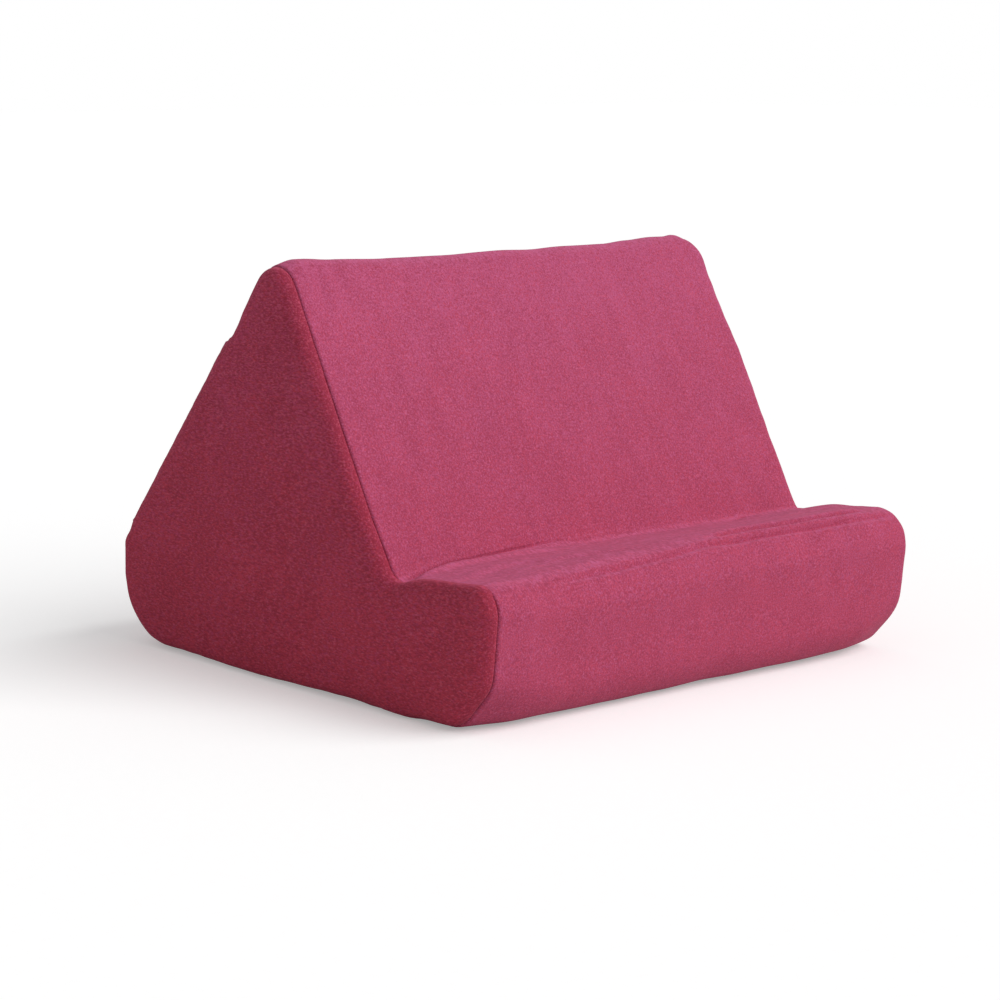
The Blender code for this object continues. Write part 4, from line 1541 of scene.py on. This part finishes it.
    @staticmethod
    def softened(heights: np.ndarray, passes: int = 3) -> np.ndarray:
        """Return heights smoothed inside their borders, which stay."""
        smooth = heights.copy()
        for _ in range(passes):
            inner = smooth[1:-1, 1:-1]
            around = smooth[:-2, 1:-1] + smooth[2:, 1:-1] + smooth[1:-1, :-2] + smooth[1:-1, 2:]
            smooth[1:-1, 1:-1] = 0.5 * inner + 0.125 * around
        return smooth


@dataclass
class Zip:
    """The zip: woven tapes, two rows of coil, stops, a slider and its pull."""

    form: CushionForm
    cloth: float = 1.2
    slack: float = 0.3
    tape: float = 0.6
    tape_half: float = 131.0
    split: float = 1.2
    coil_width: float = 5.4
    coil_half: float = 119.0
    pitch: float = 2.4
    filament: float = 0.42

    def rear(self, across: float, height: float, out: float) -> np.ndarray:
        """Return a place on the rear wall, by X, height over the zip and distance out of it."""
        form = self.form
        return np.array([across, form.depth + form.front_shift + out, form.zip_height + height])

    def make(self) -> None:
        """Make every part of the zip."""
        for row in Tape:
            name = row.name.lower()
            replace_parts(self.tape_strip(row), f"zip_tape_{name}")
            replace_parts(self.coil_row(row), f"zip_coil_{name}")
        self.topstitch()
        stops = (
            ("zip_stop_bottom", "stop_bottom"),
            ("zip_stop_top_upper", "stop_upper"),
            ("zip_stop_top_lower", "stop_lower"),
        )
        for node, name in stops:
            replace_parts(self.softened(node, name, "cushion", 0.22), node)
        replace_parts(self.softened("zip_slider", "slider_body", "slider", 0.24), "zip_slider")
        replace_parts(self.softened("zip_pull_tab", "slider_pull", "pull", 0.2), "zip_pull_tab")

    def tape_strip(self, row: Tape) -> bpy.types.Object:
        """Make one tape, which follows the inside of the cover from the coil to its sewn edge."""
        form = self.form
        marks = form.marks()
        middle = marks["slot_top"] + 1
        upper = row is Tape.UPPER
        span = slice(marks["heel"] - 3, middle) if upper else slice(middle + 1, marks["rear"] + 6)
        shapes = []
        for depth in (self.cloth + self.slack, self.cloth + self.slack + self.tape):
            part = form.section(0.0, depth)[span]
            rim = self.rear(0.0, row.value * self.split / 2, -depth)[1:]
            rim = [rim - np.array([form.front_shift, 0.0])]
            shapes.append(np.concatenate([part, rim] if upper else [rim, part]))
        section = np.concatenate([shapes[0], shapes[1][::-1]])
        columns = np.linspace(-self.tape_half, self.tape_half, 24)
        grid = np.stack([np.column_stack([np.full(len(section), x), section]) for x in columns], axis=1)
        grid[..., 1] += form.front_shift
        piece = Piece(f"tape_{row.name.lower()}")
        rows = piece.add(grid)
        piece.skin(rows, ring=True)
        piece.fill(rows[:, 0])
        piece.fill(rows[::-1, -1])
        return piece.build(TAPE, smooth_angle=40.0)

    def coil_row(self, row: Tape) -> bpy.types.Object:
        """Make one row of the coil: a loop of filament at each pitch."""
        piece = Piece(f"coil_{row.name.lower()}")
        count = int((2 * self.coil_half - 1.3) // self.pitch) + 1
        first = -self.pitch * (count - 1) / 2 + self.pitch / 4 * row.value
        r = self.filament
        tip, back = self.split / 2 + r, self.coil_width / 2 - r
        turns = (
            (0.0, back, -1.2 + r), (0.06, 1.6, -1.2 + r), (0.14, tip + 0.25, -1.08 + r),
            (0.25, tip, -0.38), (0.36, tip + 0.25, 0.42 - r), (0.44, 1.6, 0.5 - r),
            (0.5, back - 0.1, 0.44 - r), (0.62, back, -0.35),
        )
        for k in range(count):
            middle = first + self.pitch * k
            path = [
                self.rear(middle + (share - 0.25) * self.pitch * 0.9, row.value * v, out)
                for share, v, out in turns
            ]
            piece.tube(np.array(path), r, 6)
        return piece.build(COIL)

    def topstitch(self) -> bpy.types.Object:
        """Make the stitches that hold the tapes, along both edges of the slot."""
        piece = Piece("slot_stitches")
        sewing = Stitching()
        reach = self.form.slot_half + 2.0
        out = np.array([0.0, 1.0, 0.0])
        for row in Tape:
            height = row.value * (self.form.slot_height / 2 + 0.55)
            sewing.row(piece, self.rear(-reach, height, 0.0), self.rear(reach, height, 0.0), out)
        return piece.build(THREAD)

    def softened(self, node: str, name: str, body: str, radius: float) -> bpy.types.Object:
        """Make a copy of a metal node whose edges are rounded, as cast and tumbled parts are.

        Args:
            node: The CAD node.
            name: The piece's name.
            body: The body that it rides on.
            radius: How wide the rounded edges are.

        Returns:
            The piece.
        """
        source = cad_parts[node]
        mesh = bpy.data.meshes.new(name)
        bm = bmesh.new()
        bm.from_mesh(source.data)
        bmesh.ops.remove_doubles(bm, verts=bm.verts, dist=0.005 * MM)
        bmesh.ops.dissolve_limit(bm, angle_limit=math.radians(1.0), verts=bm.verts, edges=bm.edges)
        least = math.radians(20)
        sharp = [e for e in bm.edges if len(e.link_faces) == 2 and e.calc_face_angle() > least]
        bmesh.ops.bevel(
            bm,
            geom=sharp,
            offset=radius * MM,
            segments=2,
            profile=0.6,
            affect="EDGES",
            clamp_overlap=True,
        )
        bmesh.ops.triangulate(bm, faces=[f for f in bm.faces if len(f.verts) > 4])
        bmesh.ops.recalc_face_normals(bm, faces=bm.faces)
        bm.to_mesh(mesh)
        bm.free()
        mesh.shade_smooth()
        mesh.set_sharp_from_angle(angle=math.radians(50))
        return dressed(name, mesh, METAL, body)


@dataclass
class Studio:
    """The floor, the lights and the camera. Angles are in degrees; daylight and key are strengths."""

    eye_metres: tuple[float, float, float] = (-0.9304, -1.0598, 0.3119)
    yaw: float = -41.125
    pitch: float = 9.414
    lens: float = 96.633
    daylight: float = 0.38
    key: float = 2.28
    key_turn: tuple[float, float] = (51.0, 27.0)
    key_softness: float = 48.0
    floor_reach_metres: float = 12.0
    floor_drop_metres: float = 0.0006
    floor_greys: tuple[float, float] = (0.80, 0.84)
    floor_glow: float = 0.32

    def make(self) -> None:
        """Make the stage."""
        self.camera()
        self.world()
        self.floor()
        self.lamp()

    def camera(self) -> None:
        """Stand the camera where the photograph was taken."""
        data = bpy.data.cameras.new("camera")
        data.lens = self.lens
        data.sensor_width = 36.0
        data.clip_start, data.clip_end = 0.05, 60.0
        made = linked("camera", data)
        made.location = self.eye_metres
        made.rotation_euler = Euler((math.radians(90.0 - self.pitch), 0.0, math.radians(self.yaw)))
        bpy.context.scene.camera = made

    def world(self) -> None:
        """Light the scene evenly from all round, and show plain white behind it."""
        world = bpy.data.worlds.new("studio")
        world.use_nodes = True
        bpy.context.scene.world = world
        graph = NodeGraph(world.node_tree)
        strength = self.seen(graph, self.daylight, 1.0)
        light = graph.node("ShaderNodeBackground", {}, {"Color": (1.0, 1.0, 1.0), "Strength": strength})
        graph.node("ShaderNodeOutputWorld", {}, {"Surface": light})

    def seen(self, graph: NodeGraph, plain: float, shown: float) -> Socket:
        """Return plain for light rays, and shown where the camera or a shiny surface looks."""
        looks = [
            graph.node("ShaderNodeLightPath", output=name)
            for name in ("Is Camera Ray", "Is Glossy Ray", "Is Transmission Ray")
        ]
        return (looks[0] + looks[1] + looks[2]).clamped() * (shown - plain) + plain

    def floor(self) -> None:
        """Lay a pale floor that keeps the object's shadow and otherwise shows white."""
        mesh = bpy.data.meshes.new("floor")
        reach, low = self.floor_reach_metres, -self.floor_drop_metres
        ends = ((-1, -1), (1, -1), (1, 1), (-1, 1))
        corners = [(reach * x, reach * y, low) for x, y in ends]
        mesh.from_pydata(corners, [], [(0, 1, 2, 3)])
        made = linked("floor", mesh)
        material = bpy.data.materials.new("floor_white")
        material.use_nodes = True
        graph = NodeGraph(material.node_tree)
        dust = graph.grain(graph.object_place(), 4.0)
        colour = graph.blend(dust, *((grey,) * 3 for grey in self.floor_greys))
        matt = graph.node("ShaderNodeBsdfDiffuse", {}, {"Color": colour})
        strength = self.seen(graph, 0.0, self.floor_glow)
        glow = graph.node("ShaderNodeEmission", {}, {"Color": (1.0, 1.0, 1.0), "Strength": strength})
        both = graph.node("ShaderNodeAddShader", {}, {0: matt, 1: glow})
        graph.node("ShaderNodeOutputMaterial", {}, {"Surface": both})
        mesh.materials.append(material)

    def lamp(self) -> None:
        """Hang one broad soft lamp, high in front and to the right."""
        data = bpy.data.lights.new("key", "SUN")
        data.energy = self.key
        data.angle = math.radians(self.key_softness)
        high, turn = self.key_turn
        linked("key", data).rotation_euler = Euler((math.radians(high), 0.0, math.radians(turn)))


def main() -> None:
    """Make the tablet holder and its stage."""
    logging.basicConfig(level=logging.INFO, format="%(name)s: %(message)s", stream=sys.stdout)
    bpy.context.scene.view_settings.view_transform = "Standard"
    form = CushionForm()
    Studio().make()
    Cover(form).make()
    FoamCore(form).make()
    BackPocket(form).make()
    Zip(form).make()


if __name__ == "__main__":
    main()
